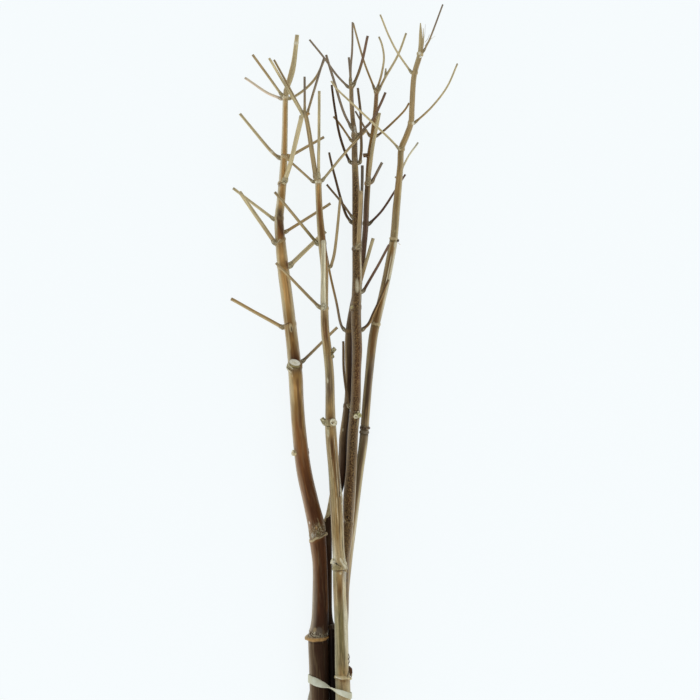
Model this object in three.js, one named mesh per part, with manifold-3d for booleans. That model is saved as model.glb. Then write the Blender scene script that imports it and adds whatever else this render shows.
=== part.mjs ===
// A bunch of five dried, trimmed plant stems, bound near its foot by a flat rubber band,
// and lying on a surface.
// Each stem is one grown piece: a jointed main stem with all its side branches, stubs and bud scars.
// Millimetres. The stems run along +Y, from their cut ends to their tips; +X is the bunch's right, +Z is up.
import * as THREE from "three";
import { mergeVertices } from "three/addons/utils/BufferGeometryUtils.js";
import Module from "manifold-3d";

const wasm = await Module();
wasm.setup();

// Driving dimensions of the whole bunch
const BUNCH_LENGTH = 775; // from the lowest cut end to the tip of the highest twig
const STEM_SIDES = 12; // faces round a main stem
const BRANCH_SIDES = 6; // faces round a branch
const TWIG_SIDES = 5; // faces round a branch thinner than THIN
const THIN = 2.2;
const STICK_STEP = 16; // longest stretch of a curved branch between two of its sections

// A ring at a joint of the stem: its half width, and its outline as [share of that, share of its swell]
const RING_HALF_WIDTH = 3.6;
const RING_OUTLINE = [[-1, 0.1], [-0.4, 1], [0.4, 1], [1, 0.2]];

// The collar where a branch leaves its stem: its length, how much thicker it is than the branch,
// and how quickly it thins to the branch
const COLLAR_LENGTH = 5;
const COLLAR_SWELL = 1.35;
const COLLAR_FADE = 1.5;

// The rubber band
const BAND_THICKNESS = 1.0;
const BAND_CLEARANCE = 0.65; // gap between the band and the stems that it holds
const BAND_LEFT = { side: -35.6, along: 101, width: 8.6 }; // its middle line and width at the bunch's left
const BAND_RIGHT = { side: 5.8, along: 85.2, width: 6.0 }; // and at the bunch's right
const BAND_TWIST = { from: -27, to: -8 }; // the stretch of the upper side, by side, where it turns over
const BAND_STATIONS = 96;
const LOOP_SAMPLES = 720; // directions in which the outermost stem is looked for

const SLAB_DEPTH = 40; // what is cut away under the resting surface

// Every place below is written as [side, along, height]:
// side from the bunch's middle, along from the lowest cut end, height above the surface.
// A main stem's line has a radius too: [side, along, height, radius], from the cut end to the top joint.
// A ring is [along, swell]: how far the joint stands out of the stem.
// A branch is { thick: [at its root, at its tip], at: [places from inside the stem to the tip] }.

const LEFT = {
  name: "stem_left",
  colour: 0x8a5a34,
  line: [
    [-23.8, 1, 9.0, 9.7],
    [-24.3, 40, 10.4, 9.6],
    [-24.5, 80, 11.5, 9.7],
    [-25.0, 112, 11.6, 9.8],
    [-26.3, 143, 10.8, 10.0],
    [-24.6, 160, 12.3, 9.2],
    [-23.7, 182, 13.9, 8.0],
    [-24.0, 215, 15.0, 7.2],
    [-25.6, 235, 15.4, 8.1],
    [-26.9, 253, 15.8, 8.4],
    [-31.9, 275, 16.3, 7.4],
    [-39.7, 310, 17.1, 7.4],
    [-44.6, 350, 18.0, 6.8],
    [-47.1, 380, 18.6, 6.8],
    [-48.7, 405, 19.1, 6.9],
    [-50.9, 430, 19.6, 6.1],
    [-56.7, 480, 20.5, 5.9],
    [-60.6, 510, 21.0, 5.9],
    [-63.4, 538, 21.4, 5.2],
    [-64.9, 560, 21.7, 4.6],
    [-63.0, 580, 21.9, 4.0],
    [-60.8, 605, 22.1, 3.9],
    [-59.4, 635, 22.3, 3.0],
    [-58.7, 670, 22.7, 2.7],
    [-58.5, 685, 23.0, 2.6],
  ],
  rings: [
    [58, 0.8],
    [143, 1.6],
    [242.6, 1.4],
    [414.5, 1.0],
    [454.5, 0.4],
    [515, 0.4],
    [538, 0.6],
    [562, 0.4],
    [599, 0.8],
    [623, 0.8],
    [683, 0.8],
  ],
  branches: [
    { thick: [3.2, 2.8], at: [[-45, 416.5, 19.4], [-40, 420, 19.4], [-6.8, 452.6, 18]] },
    { thick: [3.8, 3.3], at: [[-55, 455, 20], [-62.5, 453.6, 19.4], [-113, 482, 15]] },
    { thick: [4.6, 4.2], at: [[-58, 513, 21.2], [-53.8, 515.4, 21.6], [-25.5, 544, 24]] },
    { thick: [4.2, 3.8], at: [[-65, 536, 22.4], [-68.8, 538.5, 23.5], [-103, 588, 36]] },
    { thick: [3.2, 2.8], at: [[-62, 547, 21.6], [-57.8, 548.6, 21.6], [-13.5, 576.5, 22.5]] },
    { thick: [3.2, 2.8], at: [[-66, 560, 21], [-71.8, 562, 20], [-111, 592, 11]] },
    {
      thick: [4.4, 4.8],
      at: [
        [-60.6, 597.5, 23], [-59.4, 599.5, 26.5], [-54.8, 616, 36.5], [-42.5, 662, 60],
      ],
    },
    {
      thick: [3.4, 2.8],
      at: [
        [-60.2, 622, 22.2], [-65, 622.6, 22.2], [-70.5, 627.5, 22.6], [-104, 666, 26],
      ],
    },
    { thick: [3.2, 2.8], at: [[-59.8, 621.5, 22], [-55.2, 623.5, 21.6], [-20, 643, 18]] },
    { thick: [3.4, 3.0], at: [[-60.5, 599, 20.5], [-60.3, 602, 17.8], [-59.5, 632, 0.6]] },
    { thick: [2.8, 2.6], at: [[-60, 683, 23], [-62.9, 686.2, 23.3], [-91.3, 724.8, 28]] },
    {
      thick: [2.9, 2.6],
      at: [
        [-59.5, 683, 23], [-63.5, 681.8, 22], [-76.9, 688.1, 19], [-99.2, 702.5, 12],
      ],
    },
    {
      thick: [2.8, 2.4],
      at: [
        [-57.5, 683, 22.8], [-55, 681.4, 22.5], [-50.1, 683.7, 22], [-38, 692, 21], [-27.2, 704.1, 20.5],
        [-19, 721.5, 20.5],
      ],
    },
    {
      thick: [4.6, 3.4],
      at: [
        [-58.2, 683, 23], [-56.4, 691, 23.4], [-49.8, 711.7, 25], [-46.3, 745.2, 29],
      ],
    },
    // A cut branch's oval scar on the big upper joint, a bud low on the left, and a nub across from it
    { thick: [10.2, 9.4], stub: true, at: [[-49.6, 413, 21], [-49.2, 417.0, 27.4]] },
    { thick: [5.4, 4.4], stub: true, at: [[-45, 326.5, 17.6], [-50.2, 326.6, 18]] },
    { thick: [3.0, 2.0], stub: true, at: [[-39, 330, 17.5], [-34.4, 331.6, 17.8]] },
  ],
};

const FRONT = {
  name: "stem_front",
  colour: 0xa8946a,
  line: [
    [0.3, 8, 29.3, 7.8],
    [-0.4, 45, 29.6, 7.6],
    [-0.9, 80, 29.9, 7.5],
    [-1.2, 92, 30.0, 7.2],
    [-2.0, 120, 30.1, 7.1],
    [-2.8, 160, 30.3, 6.8],
    [-4.1, 182, 30.4, 6.3],
    [-4.5, 200, 30.5, 6.7],
    [-4.3, 215, 30.6, 6.9],
    [-5.9, 240, 30.8, 5.9],
    [-7.7, 275, 31.2, 6.0],
    [-10.1, 310, 31.8, 5.5],
    [-13.1, 348, 32.4, 5.7],
    [-13.9, 372, 33.0, 4.8],
    [-14.3, 405, 33.6, 4.6],
    [-17.0, 430, 34.1, 4.2],
    [-19.1, 450, 34.5, 4.0],
    [-19.8, 480, 35.0, 3.9],
    [-19.9, 510, 35.5, 4.0],
    [-22.2, 537, 36.0, 4.0],
    [-24.6, 565, 36.4, 3.4],
    [-25.5, 588, 36.7, 3.2],
    [-25.5, 600, 37.0, 3.2],
  ],
  rings: [
    [103, 1.3],
    [215, 1.7],
    [358, 1.0],
    [471.5, 0.8],
    [537, 0.5],
    [597.5, 0.7],
  ],
  branches: [
    { thick: [4.0, 4.0], at: [[-20.2, 471, 36], [-20, 473.5, 39.2], [-20.1, 538.5, 62]] },
    { thick: [3.2, 2.8], at: [[-21.5, 471.5, 35], [-26.6, 473.6, 35], [-68.5, 516, 33.5]] },
    {
      thick: [3.2, 2.6],
      at: [
        [-18.5, 512, 35.5], [-13.2, 515, 35.8], [-9.6, 526, 36.4], [-3.5, 582.3, 39],
      ],
    },
    { thick: [3.2, 2.8], at: [[-22.5, 535.5, 36], [-26.8, 536.4, 36.2], [-69, 587.5, 34]] },
    {
      thick: [2.6, 2.3],
      at: [
        [-26, 598, 37], [-31.6, 598.4, 36.3], [-50.8, 616, 32.5], [-61.9, 625.6, 30],
      ],
    },
    { thick: [3.2, 2.8], at: [[-25.6, 598, 37.4], [-25.8, 602, 38], [-25.3, 688, 44]] },
    {
      thick: [2.8, 2.4],
      at: [[-24.5, 598, 37], [-22, 599.4, 36.8], [0.6, 626.6, 31], [10.8, 638.1, 29], [23, 650, 28.5]],
    },
    // The main stem's bent top, with the four twigs of its last joint
    {
      thick: [4.8, 4.4],
      at: [
        [-25.6, 597, 37], [-28, 602.5, 37], [-37.6, 660.4, 38], [-39.7, 667, 38.2],
      ],
    },
    { thick: [3.0, 2.6], at: [[-39.7, 664.5, 38], [-41.5, 668, 38], [-73.7, 720.7, 37]] },
    { thick: [2.3, 2.0], at: [[-39.7, 664.5, 37.8], [-41, 668.6, 36.8], [-68.6, 719.4, 33]] },
    { thick: [2.6, 2.3], at: [[-39.5, 664.5, 38.2], [-39.3, 668, 38.5], [-39.3, 702.2, 41]] },
    {
      thick: [2.6, 2.2],
      at: [
        [-39, 664.5, 38], [-35.5, 667.6, 38], [-27.2, 696.4, 37.3], [-19.5, 721.3, 36.5],
      ],
    },
    // A branch on the far side, a cut stub on the right, and the scars of the big joint below it
    { thick: [3.6, 3.2], at: [[-20.4, 471, 34], [-20.3, 474, 30.5], [-20, 518, 14]] },
    { thick: [4.4, 4.0], stub: true, at: [[-15.2, 424.5, 34], [-9.4, 431.4, 35]] },
    { thick: [5.2, 4.4], stub: true, at: [[-14, 357, 33], [-22.4, 360.2, 33.6]] },
    { thick: [7.8, 7.0], stub: true, at: [[-12.4, 357.2, 34.5], [-10.2, 357.8, 39.4]] },
    // Two knobs either side of the lumpy joint, and a dark bud scale at the lowest one
    { thick: [6.2, 4.6], stub: true, at: [[-7, 216.5, 30.8], [-12.2, 219.6, 31.4]] },
    { thick: [6.8, 5.2], stub: true, at: [[-2, 213.5, 31], [3.4, 213, 31.8]] },
    { thick: [3.6, 1.6], stub: true, at: [[4.2, 105, 30.4], [8, 115, 30.8]] },
  ],
};

const MOTTLED = {
  name: "stem_mottled",
  colour: 0x5e4a37,
  line: [
    [-1.2, 12, 15.8, 5.1],
    [-0.8, 80, 16.1, 5.0],
    [0.0, 170, 16.5, 4.7],
    [1.0, 220, 16.8, 4.7],
    [3.3, 240, 17.0, 4.9],
    [4.5, 256, 17.3, 5.0],
    [5.6, 280, 17.7, 5.8],
    [7.5, 310, 18.4, 5.4],
    [8.4, 348, 19.2, 4.8],
    [11.3, 380, 20.0, 5.0],
    [12.4, 410, 20.6, 4.6],
    [13.2, 430, 21.0, 5.0],
    [11.9, 465, 21.6, 5.0],
    [13.4, 500, 22.2, 5.0],
    [13.0, 532, 22.8, 4.6],
    [12.3, 580, 23.4, 4.1],
    [11.4, 605, 23.7, 3.2],
    [10.7, 625, 23.9, 2.9],
    [10.5, 647, 24.1, 2.5],
    [8.4, 660, 24.2, 2.2],
    [7.1, 680, 24.4, 2.1],
    [7.2, 695, 24.5, 2.0],
  ],
  rings: [
    [256, 0.5],
    [365, 0.6],
    [472, 0.7],
    [532, 0.5],
    [617, 0.8],
    [646, 0.9],
    [693, 0.7],
  ],
  branches: [
    { thick: [2.8, 2.4], at: [[10, 371, 20.5], [4.2, 375, 19.5], [-0.2, 410, 18], [-0.8, 438.8, 18]] },
    {
      thick: [3.2, 2.4],
      at: [
        [14, 449, 21], [18.9, 451.4, 21.5], [23.4, 456, 22.3], [29.8, 469.4, 23.5], [36.8, 484, 25],
        [44, 501, 27],
      ],
    },
    { thick: [3.0, 2.6], at: [[14.5, 487, 22], [18.8, 490.8, 22.5], [31.3, 512.4, 25], [44, 536, 27.5]] },
    { thick: [3.5, 3.5], at: [[13.4, 531, 24], [14.7, 534.5, 27.8], [17.3, 588, 46]] },
    { thick: [3.2, 3.0], at: [[14, 528, 21.5], [15.4, 532, 19], [18.1, 593.5, 17], [18.3, 614.7, 16]] },
    {
      thick: [2.8, 2.2],
      at: [
        [10, 556, 23.3], [6.6, 559.6, 23.3], [3.1, 564, 23.5], [-1.7, 577, 24], [-7.6, 598, 25.5],
        [-14.7, 627.3, 27.5],
      ],
    },
    { thick: [2.4, 2.1], at: [[10, 561, 24.8], [7.6, 565, 25.6], [-0.4, 576, 27.5], [-16.6, 595.4, 30]] },
    {
      thick: [2.8, 2.2],
      at: [
        [10, 616, 23.9], [5.7, 619.6, 24.3], [0.6, 630.5, 25.5], [-4.5, 646.4, 27], [-8.9, 670, 29],
        [-12.2, 694.5, 30.5],
      ],
    },
    {
      thick: [3.0, 2.5],
      at: [
        [11.6, 616, 24.2], [16, 618.6, 25.5], [17.2, 631.7, 29.5], [16.6, 651, 33.5],
        [16.2, 668.4, 34.5], [13.6, 691.3, 35.5],
      ],
    },
    {
      thick: [2.7, 2.4],
      at: [
        [10.5, 648, 24.2], [7, 653.4, 24.8], [0.8, 665.2, 26.3], [-4.3, 679.8, 28], [-9.4, 697.1, 29.5],
        [-17.6, 724.5, 31.3],
      ],
    },
    {
      thick: [2.3, 2.0],
      at: [
        [10.5, 637, 23.8], [7, 640.7, 23.6], [-4.5, 656.6, 23], [-10.2, 663.6, 22.5],
      ],
    },
    {
      thick: [2.8, 2.5],
      at: [
        [11, 643.5, 24], [14, 644.4, 24], [19.1, 650.9, 24.5], [28, 660.4, 25.5], [36.6, 676.7, 27],
        [41.3, 687.2, 27.5],
      ],
    },
    {
      thick: [2.3, 2.0],
      at: [
        [6.8, 692, 24.5], [3.4, 693.4, 24.3], [-6.8, 704.1, 23.5], [-20.2, 722.6, 23.8],
        [-34.5, 740.1, 24],
      ],
    },
    {
      thick: [2.2, 1.8],
      at: [
        [7, 692, 24.5], [6.3, 697.1, 24.7], [6.6, 711.7, 25], [7.9, 727.7, 25.5], [8.4, 757.2, 26],
      ],
    },
    { thick: [2.5, 2.3], at: [[7, 692, 24.8], [6.5, 697, 26], [6, 705.4, 28.3], [4.4, 721.9, 32.5]] },
    {
      thick: [3.0, 2.6],
      at: [
        [7.4, 692, 24.6], [9.8, 695.8, 25], [14.2, 706.6, 26], [18.7, 721.3, 27.5], [23.5, 743.6, 29],
      ],
    },
    // A bud scar and a splinter on the front of the lower joint, and a knob on the left, higher up
    { thick: [6.4, 5.0], stub: true, at: [[12, 363.5, 21], [13.3, 364.3, 25.6]] },
    { thick: [4.0, 3.0], stub: true, at: [[11, 472, 21.6], [5.4, 473, 22]] },
  ],
};

const DARK = {
  name: "stem_dark",
  colour: 0x50392f,
  line: [
    [-9.8, 6, 5.8, 4.3],
    [-10.4, 58, 6.0, 4.3],
    [-10.9, 92, 6.1, 4.3],
    [-11.1, 122, 5.7, 4.3],
    [-11.1, 143, 5.4, 4.1],
    [-11.8, 150, 4.8, 4.0],
    [-14.3, 158, 4.1, 3.5],
    [-15.3, 168, 4.2, 3.4],
    [-15.5, 182, 4.8, 3.4],
    [-15.8, 205, 5.3, 3.4],
    [-16.1, 235, 5.8, 3.4],
    [-16.6, 256, 6.2, 3.4],
    [-13.4, 268, 6.5, 3.4],
    [-8.6, 280, 6.8, 3.4],
    [-4.2, 292, 7.1, 3.4],
    [-1.5, 304, 7.4, 3.5],
    [-0.8, 318, 7.7, 3.5],
    [-0.8, 340, 8.1, 3.5],
    [0.6, 360, 8.4, 3.3],
    [2.9, 400, 9.2, 3.1],
    [4.0, 430, 9.7, 3.0],
    [4.2, 450, 10.1, 3.1],
    [5.5, 471, 10.4, 3.0],
    [10.0, 490, 10.7, 2.9],
    [17.6, 515, 11.1, 2.8],
    [20.5, 540, 11.5, 2.7],
    [22.0, 557, 11.9, 2.7],
    [22.8, 575, 12.3, 2.5],
    [24.2, 596, 13.1, 2.5],
    [25.3, 625, 13.9, 2.1],
    [28.6, 645, 14.5, 2.3],
    [31.4, 670, 15.6, 2.1],
    [32.7, 690, 16.5, 2.0],
  ],
  rings: [
    [152, 0.7],
    [374, 0.5],
    [450, 0.6],
    [557, 0.5],
    [597, 0.7],
    [645, 0.7],
    [688, 0.6],
  ],
  branches: [
    {
      thick: [2.6, 2.0],
      at: [
        [4, 449, 10.3], [0.4, 451, 11], [-2.7, 454.4, 11.6], [-7.6, 480, 14], [-13.2, 509, 17],
        [-18.5, 548.4, 21],
      ],
    },
    {
      thick: [3.6, 3.4],
      at: [
        [11.5, 492, 11], [16, 496.5, 13.2], [22.3, 519.4, 15.5], [28.7, 541.7, 18],
      ],
    },
    {
      thick: [2.6, 2.0],
      at: [
        [22.4, 555, 12], [25, 557, 12], [37.3, 570, 12.5], [50.6, 589.6, 13], [61.5, 606.2, 13.5],
      ],
    },
    { thick: [3.0, 2.8], at: [[25.2, 597, 13.2], [28.3, 599.2, 13.5], [37.3, 617.7, 15]] },
    {
      thick: [3.8, 3.8],
      at: [
        [24.2, 595.5, 14], [25.1, 600, 16.6], [30.2, 638, 23], [35.7, 666.8, 26.5],
      ],
    },
    { thick: [4.0, 3.6], stub: true, at: [[25, 624, 14], [19.6, 625, 15]] },
    {
      thick: [2.4, 2.0],
      at: [
        [28.6, 643.5, 14.6], [33.4, 645.1, 14.8], [39.2, 649.6, 15.3], [60.2, 670, 17.5],
        [65, 677.5, 18.3],
      ],
    },
    {
      thick: [2.2, 1.8],
      at: [
        [28.2, 643.5, 14.5], [25.5, 645, 14.6], [20.4, 654, 15.5], [11.5, 669, 17],
      ],
    },
    { thick: [2.2, 1.8], at: [[32.4, 687, 16.5], [30.4, 691.6, 16.7], [20, 718.6, 18], [9.2, 757, 19]] },
    {
      thick: [2.2, 1.8],
      at: [
        [32.8, 687, 16.6], [33.4, 692.4, 17.2], [37.5, 705.4, 18.5], [39.9, 722, 19.5],
        [38.3, 735.2, 20], [35, 743.1, 20.3],
      ],
    },
    {
      thick: [2.5, 2.1],
      at: [
        [33, 687, 16.5], [34.8, 691, 16.8], [41.6, 703.7, 17.5], [53.2, 724.4, 18.3], [61.9, 746.8, 19],
      ],
    },
    { thick: [1.8, 1.6], at: [[41.2, 702.8, 17.4], [41.6, 705.4, 18.2], [41.8, 711.5, 20]] },
    // A cut branch beside its bend
    { thick: [5.0, 4.6], stub: true, at: [[-16.6, 258, 6.4], [-12.6, 287, 9.4]] },
  ],
};

const RIGHT = {
  name: "stem_right",
  colour: 0x84704c,
  line: [
    [0.5, 10, 4.0, 4.5],
    [0.0, 60, 5.9, 4.4],
    [-0.1, 90, 6.1, 4.4],
    [-0.4, 130, 6.2, 4.3],
    [0.4, 180, 6.6, 4.2],
    [4.2, 220, 7.0, 4.2],
    [8.0, 250, 7.5, 4.2],
    [11.9, 280, 8.6, 4.1],
    [16.1, 310, 10.0, 4.3],
    [19.5, 338, 11.1, 4.6],
    [21.6, 360, 11.8, 4.3],
    [23.1, 380, 12.4, 4.1],
    [24.8, 400, 13.0, 4.0],
    [28.2, 440, 14.1, 4.4],
    [32.0, 459, 14.8, 4.3],
    [37.4, 480, 15.7, 3.9],
    [41.9, 500, 17.0, 4.1],
    [47.8, 530, 19.2, 4.1],
    [50.2, 545, 20.1, 3.8],
    [52.4, 570, 21.3, 3.6],
    [54.4, 590, 22.6, 3.3],
    [56.4, 615, 24.4, 2.9],
    [57.4, 631, 25.5, 2.9],
    [62.6, 644, 26.7, 2.7],
    [67.0, 657, 27.8, 2.7],
    [67.8, 672, 28.7, 2.5],
    [69.2, 697, 30.0, 2.5],
    [71.0, 708, 30.5, 2.6],
    [76.0, 725, 31.2, 2.6],
    [76.9, 733, 31.6, 2.3],
    [76.6, 745, 32.0, 1.5],
    [76.4, 756, 32.3, 0.5],
  ],
  rings: [
    [351, 1.0],
    [457, 0.9],
    [540, 0.5],
    [631, 0.5],
    [657, 0.4],
    [707, 0.4],
    [725.5, 0.5],
  ],
  branches: [
    { thick: [2.2, 1.8], at: [[55.8, 607, 22.5], [59.6, 614.5, 19], [65.3, 625.4, 15], [74.2, 638, 11]] },
    {
      thick: [2.4, 1.9],
      at: [
        [56.8, 630, 27], [54.1, 632, 29], [47.5, 639.4, 31.5], [25.1, 660.4, 36], [6, 678, 39],
        [-8.1, 691.3, 40], [-12.5, 697.7, 40.5],
      ],
    },
    {
      thick: [2.2, 1.8],
      at: [
        [67.4, 655.5, 28], [70.8, 657.8, 28], [87.2, 673, 27], [103, 693.8, 25.5], [113.3, 716.2, 23],
      ],
    },
    {
      thick: [2.2, 1.7],
      at: [
        [70.4, 705.5, 30.5], [67.6, 707.4, 31], [54, 726.9, 34], [44.9, 743.5, 36], [36.5, 764.2, 37.5],
      ],
    },
    {
      thick: [1.9, 1.6],
      at: [
        [76.6, 725, 31.4], [80.2, 730.2, 31.8], [84.7, 739.4, 32.5], [98.8, 775, 35],
      ],
    },
    // A branch on the far side, whose tip carries this side of the bunch, and two small buds
    { thick: [3.4, 3.0], at: [[50, 540, 18.5], [50.2, 543, 16], [52.5, 576, 0.6]] },
    { thick: [3.2, 2.2], stub: true, at: [[51, 539, 19.8], [55, 540.4, 20.2]] },
    { thick: [2.4, 1.6], stub: true, at: [[54.4, 601, 23.4], [51.2, 603, 23.8]] },
  ],
};

const STEMS = [LEFT, FRONT, MOTTLED, DARK, RIGHT];

// The two poles of a turned piece leave faces with no area: this drops them.
function dropFlatFaces(geometry) {
  const from = geometry.index.array;
  const kept = [];
  for (let i = 0; i < from.length; i += 3) {
    const [a, b, c] = [from[i], from[i + 1], from[i + 2]];
    if (a !== b && b !== c && c !== a) kept.push(a, b, c);
  }
  geometry.setIndex(kept);
  return geometry;
}

// A closed geometry as a solid that can be joined and cut
function solid(geometry) {
  const bare = geometry.clone();
  bare.deleteAttribute("normal");
  bare.deleteAttribute("uv");
  const merged = dropFlatFaces(mergeVertices(bare, 1e-4));
  return new wasm.Manifold(
    new wasm.Mesh({
      numProp: 3,
      vertProperties: merged.attributes.position.array,
      triVerts: new Uint32Array(merged.index.array),
    }),
  );
}

// A solid back as a geometry
function geometryOf(made) {
  const { vertProperties, triVerts } = made.getMesh();
  const geometry = new THREE.BufferGeometry();
  geometry.setAttribute("position", new THREE.BufferAttribute(new Float32Array(vertProperties), 3));
  geometry.setIndex(new THREE.BufferAttribute(new Uint32Array(triVerts), 1));
  geometry.computeVertexNormals();
  return geometry;
}

// A straight round bar about the Y axis, closed at both ends, from [distance, radius] pairs
function turned(profile, sides) {
  const [first] = profile[0];
  const [last] = profile.at(-1);
  const outline = [
    new THREE.Vector2(0, first),
    ...profile.map(([distance, radius]) => new THREE.Vector2(radius, distance)),
    new THREE.Vector2(0, last),
  ];
  return new THREE.LatheGeometry(outline, sides, Math.PI / sides);
}

// The geometry with each of its points moved by a function of that point
function reshaped(geometry, move) {
  const places = geometry.attributes.position;
  const point = new THREE.Vector3();
  for (let i = 0; i < places.count; i++) {
    move(point.fromBufferAttribute(places, i));
    places.setXYZ(i, point.x, point.y, point.z);
  }
  return geometry;
}

// Side, height and radius of a main stem, as smooth functions of the distance along it
function stemLine(stem) {
  const alongs = stem.line.map((station) => station[1]);
  const values = stem.line.flatMap(([side, , height, radius]) => [side, height, radius]);
  return new THREE.CubicInterpolant(alongs, values, 3);
}

// The main stem: a turned bar with a swelling at each joint, leaned over its centre line
function mainStem(stem) {
  const line = stemLine(stem);
  const first = stem.line[0][1];
  const last = stem.line.at(-1)[1];
  const radiusAt = (along) => line.evaluate(along)[2];
  const nearRing = (along) => stem.rings.some(([at]) => Math.abs(at - along) < RING_HALF_WIDTH);
  const plain = stem.line.map((station) => station[1]).filter((along) => !nearRing(along));
  const profile = plain.map((along) => [along, radiusAt(along)]);
  for (const [at, swell] of stem.rings) {
    for (const [share, rise] of RING_OUTLINE) {
      const along = at + share * RING_HALF_WIDTH;
      if (along < last) profile.push([along, radiusAt(along) + rise * swell]);
    }
  }
  if (!profile.some(([along]) => along === first)) profile.push([first, radiusAt(first)]);
  if (!profile.some(([along]) => along === last)) profile.push([last, radiusAt(last)]);
  profile.sort((a, b) => a[0] - b[0]);
  return reshaped(turned(profile, STEM_SIDES), (point) => {
    const [side, height] = line.evaluate(point.y);
    point.x += side;
    point.z += height;
  });
}

// A branch, twig, stub or bud: a turned bar bent along a smooth curve
function branch({ thick, at, stub }) {
  const curve = new THREE.CatmullRomCurve3(at.map((place) => new THREE.Vector3(...place)));
  const length = curve.getLength();
  const straight = new THREE.Vector3().subVectors(curve.getPoint(1), curve.getPoint(0)).normalize();
  const across = Math.abs(straight.z) < 0.8 ? new THREE.Vector3(0, 0, 1) : new THREE.Vector3(1, 0, 0);
  const radiusAt = (distance) => THREE.MathUtils.lerp(thick[0], thick[1], distance / length) / 2;
  const steps = stub ? 1 : Math.max(at.length - 1, Math.ceil(length / STICK_STEP));
  const distances = Array.from({ length: steps + 1 }, (_, i) => (i * length) / steps);
  const profile = distances.map((distance) => [distance, radiusAt(distance)]);
  if (!stub) {
    const swollen = Math.min(COLLAR_LENGTH, length / 3);
    profile[0][1] *= COLLAR_SWELL;
    profile.push([swollen, radiusAt(swollen) * COLLAR_SWELL], [swollen + COLLAR_FADE, radiusAt(swollen)]);
    profile.sort((a, b) => a[0] - b[0]);
  }
  const sides = Math.max(...thick) < THIN ? TWIG_SIDES : BRANCH_SIDES;
  return reshaped(turned(profile, sides), (point) => {
    const share = THREE.MathUtils.clamp(point.y / length, 0, 1);
    const centre = curve.getPointAt(share);
    const along = curve.getTangentAt(share);
    const wide = new THREE.Vector3().crossVectors(along, across).normalize();
    const deep = new THREE.Vector3().crossVectors(wide, along);
    const { x, z } = point;
    point.copy(centre).addScaledVector(wide, x).addScaledVector(deep, z);
  });
}

// What lies under the surface that the bunch rests on
function underTheSurface() {
  const slab = new THREE.BoxGeometry(2 * BUNCH_LENGTH, 2 * BUNCH_LENGTH, SLAB_DEPTH);
  return solid(slab.translate(0, BUNCH_LENGTH / 2, -SLAB_DEPTH / 2));
}

// A whole stem: its branches fused to it, and its low points flat where they rest
function wholeStem(stem) {
  const pieces = [mainStem(stem), ...stem.branches.map(branch)].map(solid);
  const fused = pieces.reduce((whole, piece) => whole.add(piece));
  return geometryOf(fused.subtract(underTheSurface()));
}

// How far across the band's slant a place is, from 0 at the bunch's left to 1 at its right
function bandShare(side) {
  return THREE.MathUtils.clamp((side - BAND_LEFT.side) / (BAND_RIGHT.side - BAND_LEFT.side), 0, 1);
}

// The tight loop round the stems where the band crosses them, as evenly spaced [side, height] points
function tightLoop(standOff, count) {
  const circles = STEMS.map((stem) => {
    const near = stemLine(stem).evaluate(BAND_LEFT.along)[0];
    const along = THREE.MathUtils.lerp(BAND_LEFT.along, BAND_RIGHT.along, bandShare(near));
    const [side, height, radius] = stemLine(stem).evaluate(along);
    return { side, height, radius: radius + standOff };
  });
  const points = Array.from({ length: LOOP_SAMPLES }, (_, i) => {
    const angle = (i / LOOP_SAMPLES) * 2 * Math.PI;
    const [cos, sin] = [Math.cos(angle), Math.sin(angle)];
    const reach = (circle) => circle.side * cos + circle.height * sin + circle.radius;
    const outermost = circles.reduce((best, circle) => (reach(circle) > reach(best) ? circle : best));
    const { side, height, radius } = outermost;
    return new THREE.Vector2(side + radius * cos, height + radius * sin);
  });
  return new THREE.Path(points.concat(points[0])).getSpacedPoints(count);
}

// The flat rubber band: it runs round the bunch on a slant, and turns over once between two stems.
// It is a four-sided ring, reshaped: the way round the ring picks the place on the loop, which starts at
// the bunch's right and runs over its top first.
function tieBand() {
  const loop = tightLoop(BAND_CLEARANCE + BAND_THICKNESS / 2, BAND_STATIONS);
  const ring = new THREE.TorusGeometry(1, 0.1, 4, BAND_STATIONS);
  const places = ring.attributes.position;
  for (let i = 0; i <= BAND_STATIONS; i++) {
    const here = loop[i % BAND_STATIONS];
    const before = loop[(i - 1 + BAND_STATIONS) % BAND_STATIONS];
    const after = loop[(i + 1) % BAND_STATIONS];
    const outward = new THREE.Vector2(after.y - before.y, before.x - after.x).normalize();
    const along = THREE.MathUtils.lerp(BAND_LEFT.along, BAND_RIGHT.along, bandShare(here.x));
    const width = THREE.MathUtils.lerp(BAND_LEFT.width, BAND_RIGHT.width, bandShare(here.x));
    const onTop = i < BAND_STATIONS / 2;
    const turnedOver = onTop ? 1 - THREE.MathUtils.smoothstep(here.x, BAND_TWIST.from, BAND_TWIST.to) : 1;
    for (let corner = 0; corner <= 4; corner++) {
      const angle = (corner + 0.5) * (Math.PI / 2);
      const flat = new THREE.Vector2(
        (Math.SQRT2 * Math.cos(angle) * width) / 2,
        (Math.SQRT2 * Math.sin(angle) * BAND_THICKNESS) / 2,
      );
      flat.rotateAround(new THREE.Vector2(), turnedOver * Math.PI);
      const place = here.clone().addScaledVector(outward, flat.y);
      places.setXYZ(corner * (BAND_STATIONS + 1) + i, place.x, along + flat.x, place.y);
    }
  }
  return ring;
}

function finish(colour, roughness) {
  return new THREE.MeshStandardMaterial({ color: colour, roughness, metalness: 0 });
}

const bunch = new THREE.Group();
bunch.position.set(0, -BUNCH_LENGTH / 2, 0);

for (const stem of STEMS) {
  const mesh = new THREE.Mesh(wholeStem(stem), finish(stem.colour, 0.7));
  mesh.name = stem.name;
  bunch.add(mesh);
}

const band = new THREE.Mesh(tieBand(), finish(0xc9cdb8, 0.55));
band.name = "tie_band";
bunch.add(band);

export default bunch;
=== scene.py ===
"""The looks of a bunch of five dried, jointed plant stems, tied with a flat rubber band and lying down.

Each stem's solid is replaced by one finer mesh: the jointed main stem, its branches, stubs, bud scars and
cut ends. Places are in millimetres, as (side, along, height), and become metres in the part's frame.
"""
import math

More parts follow.
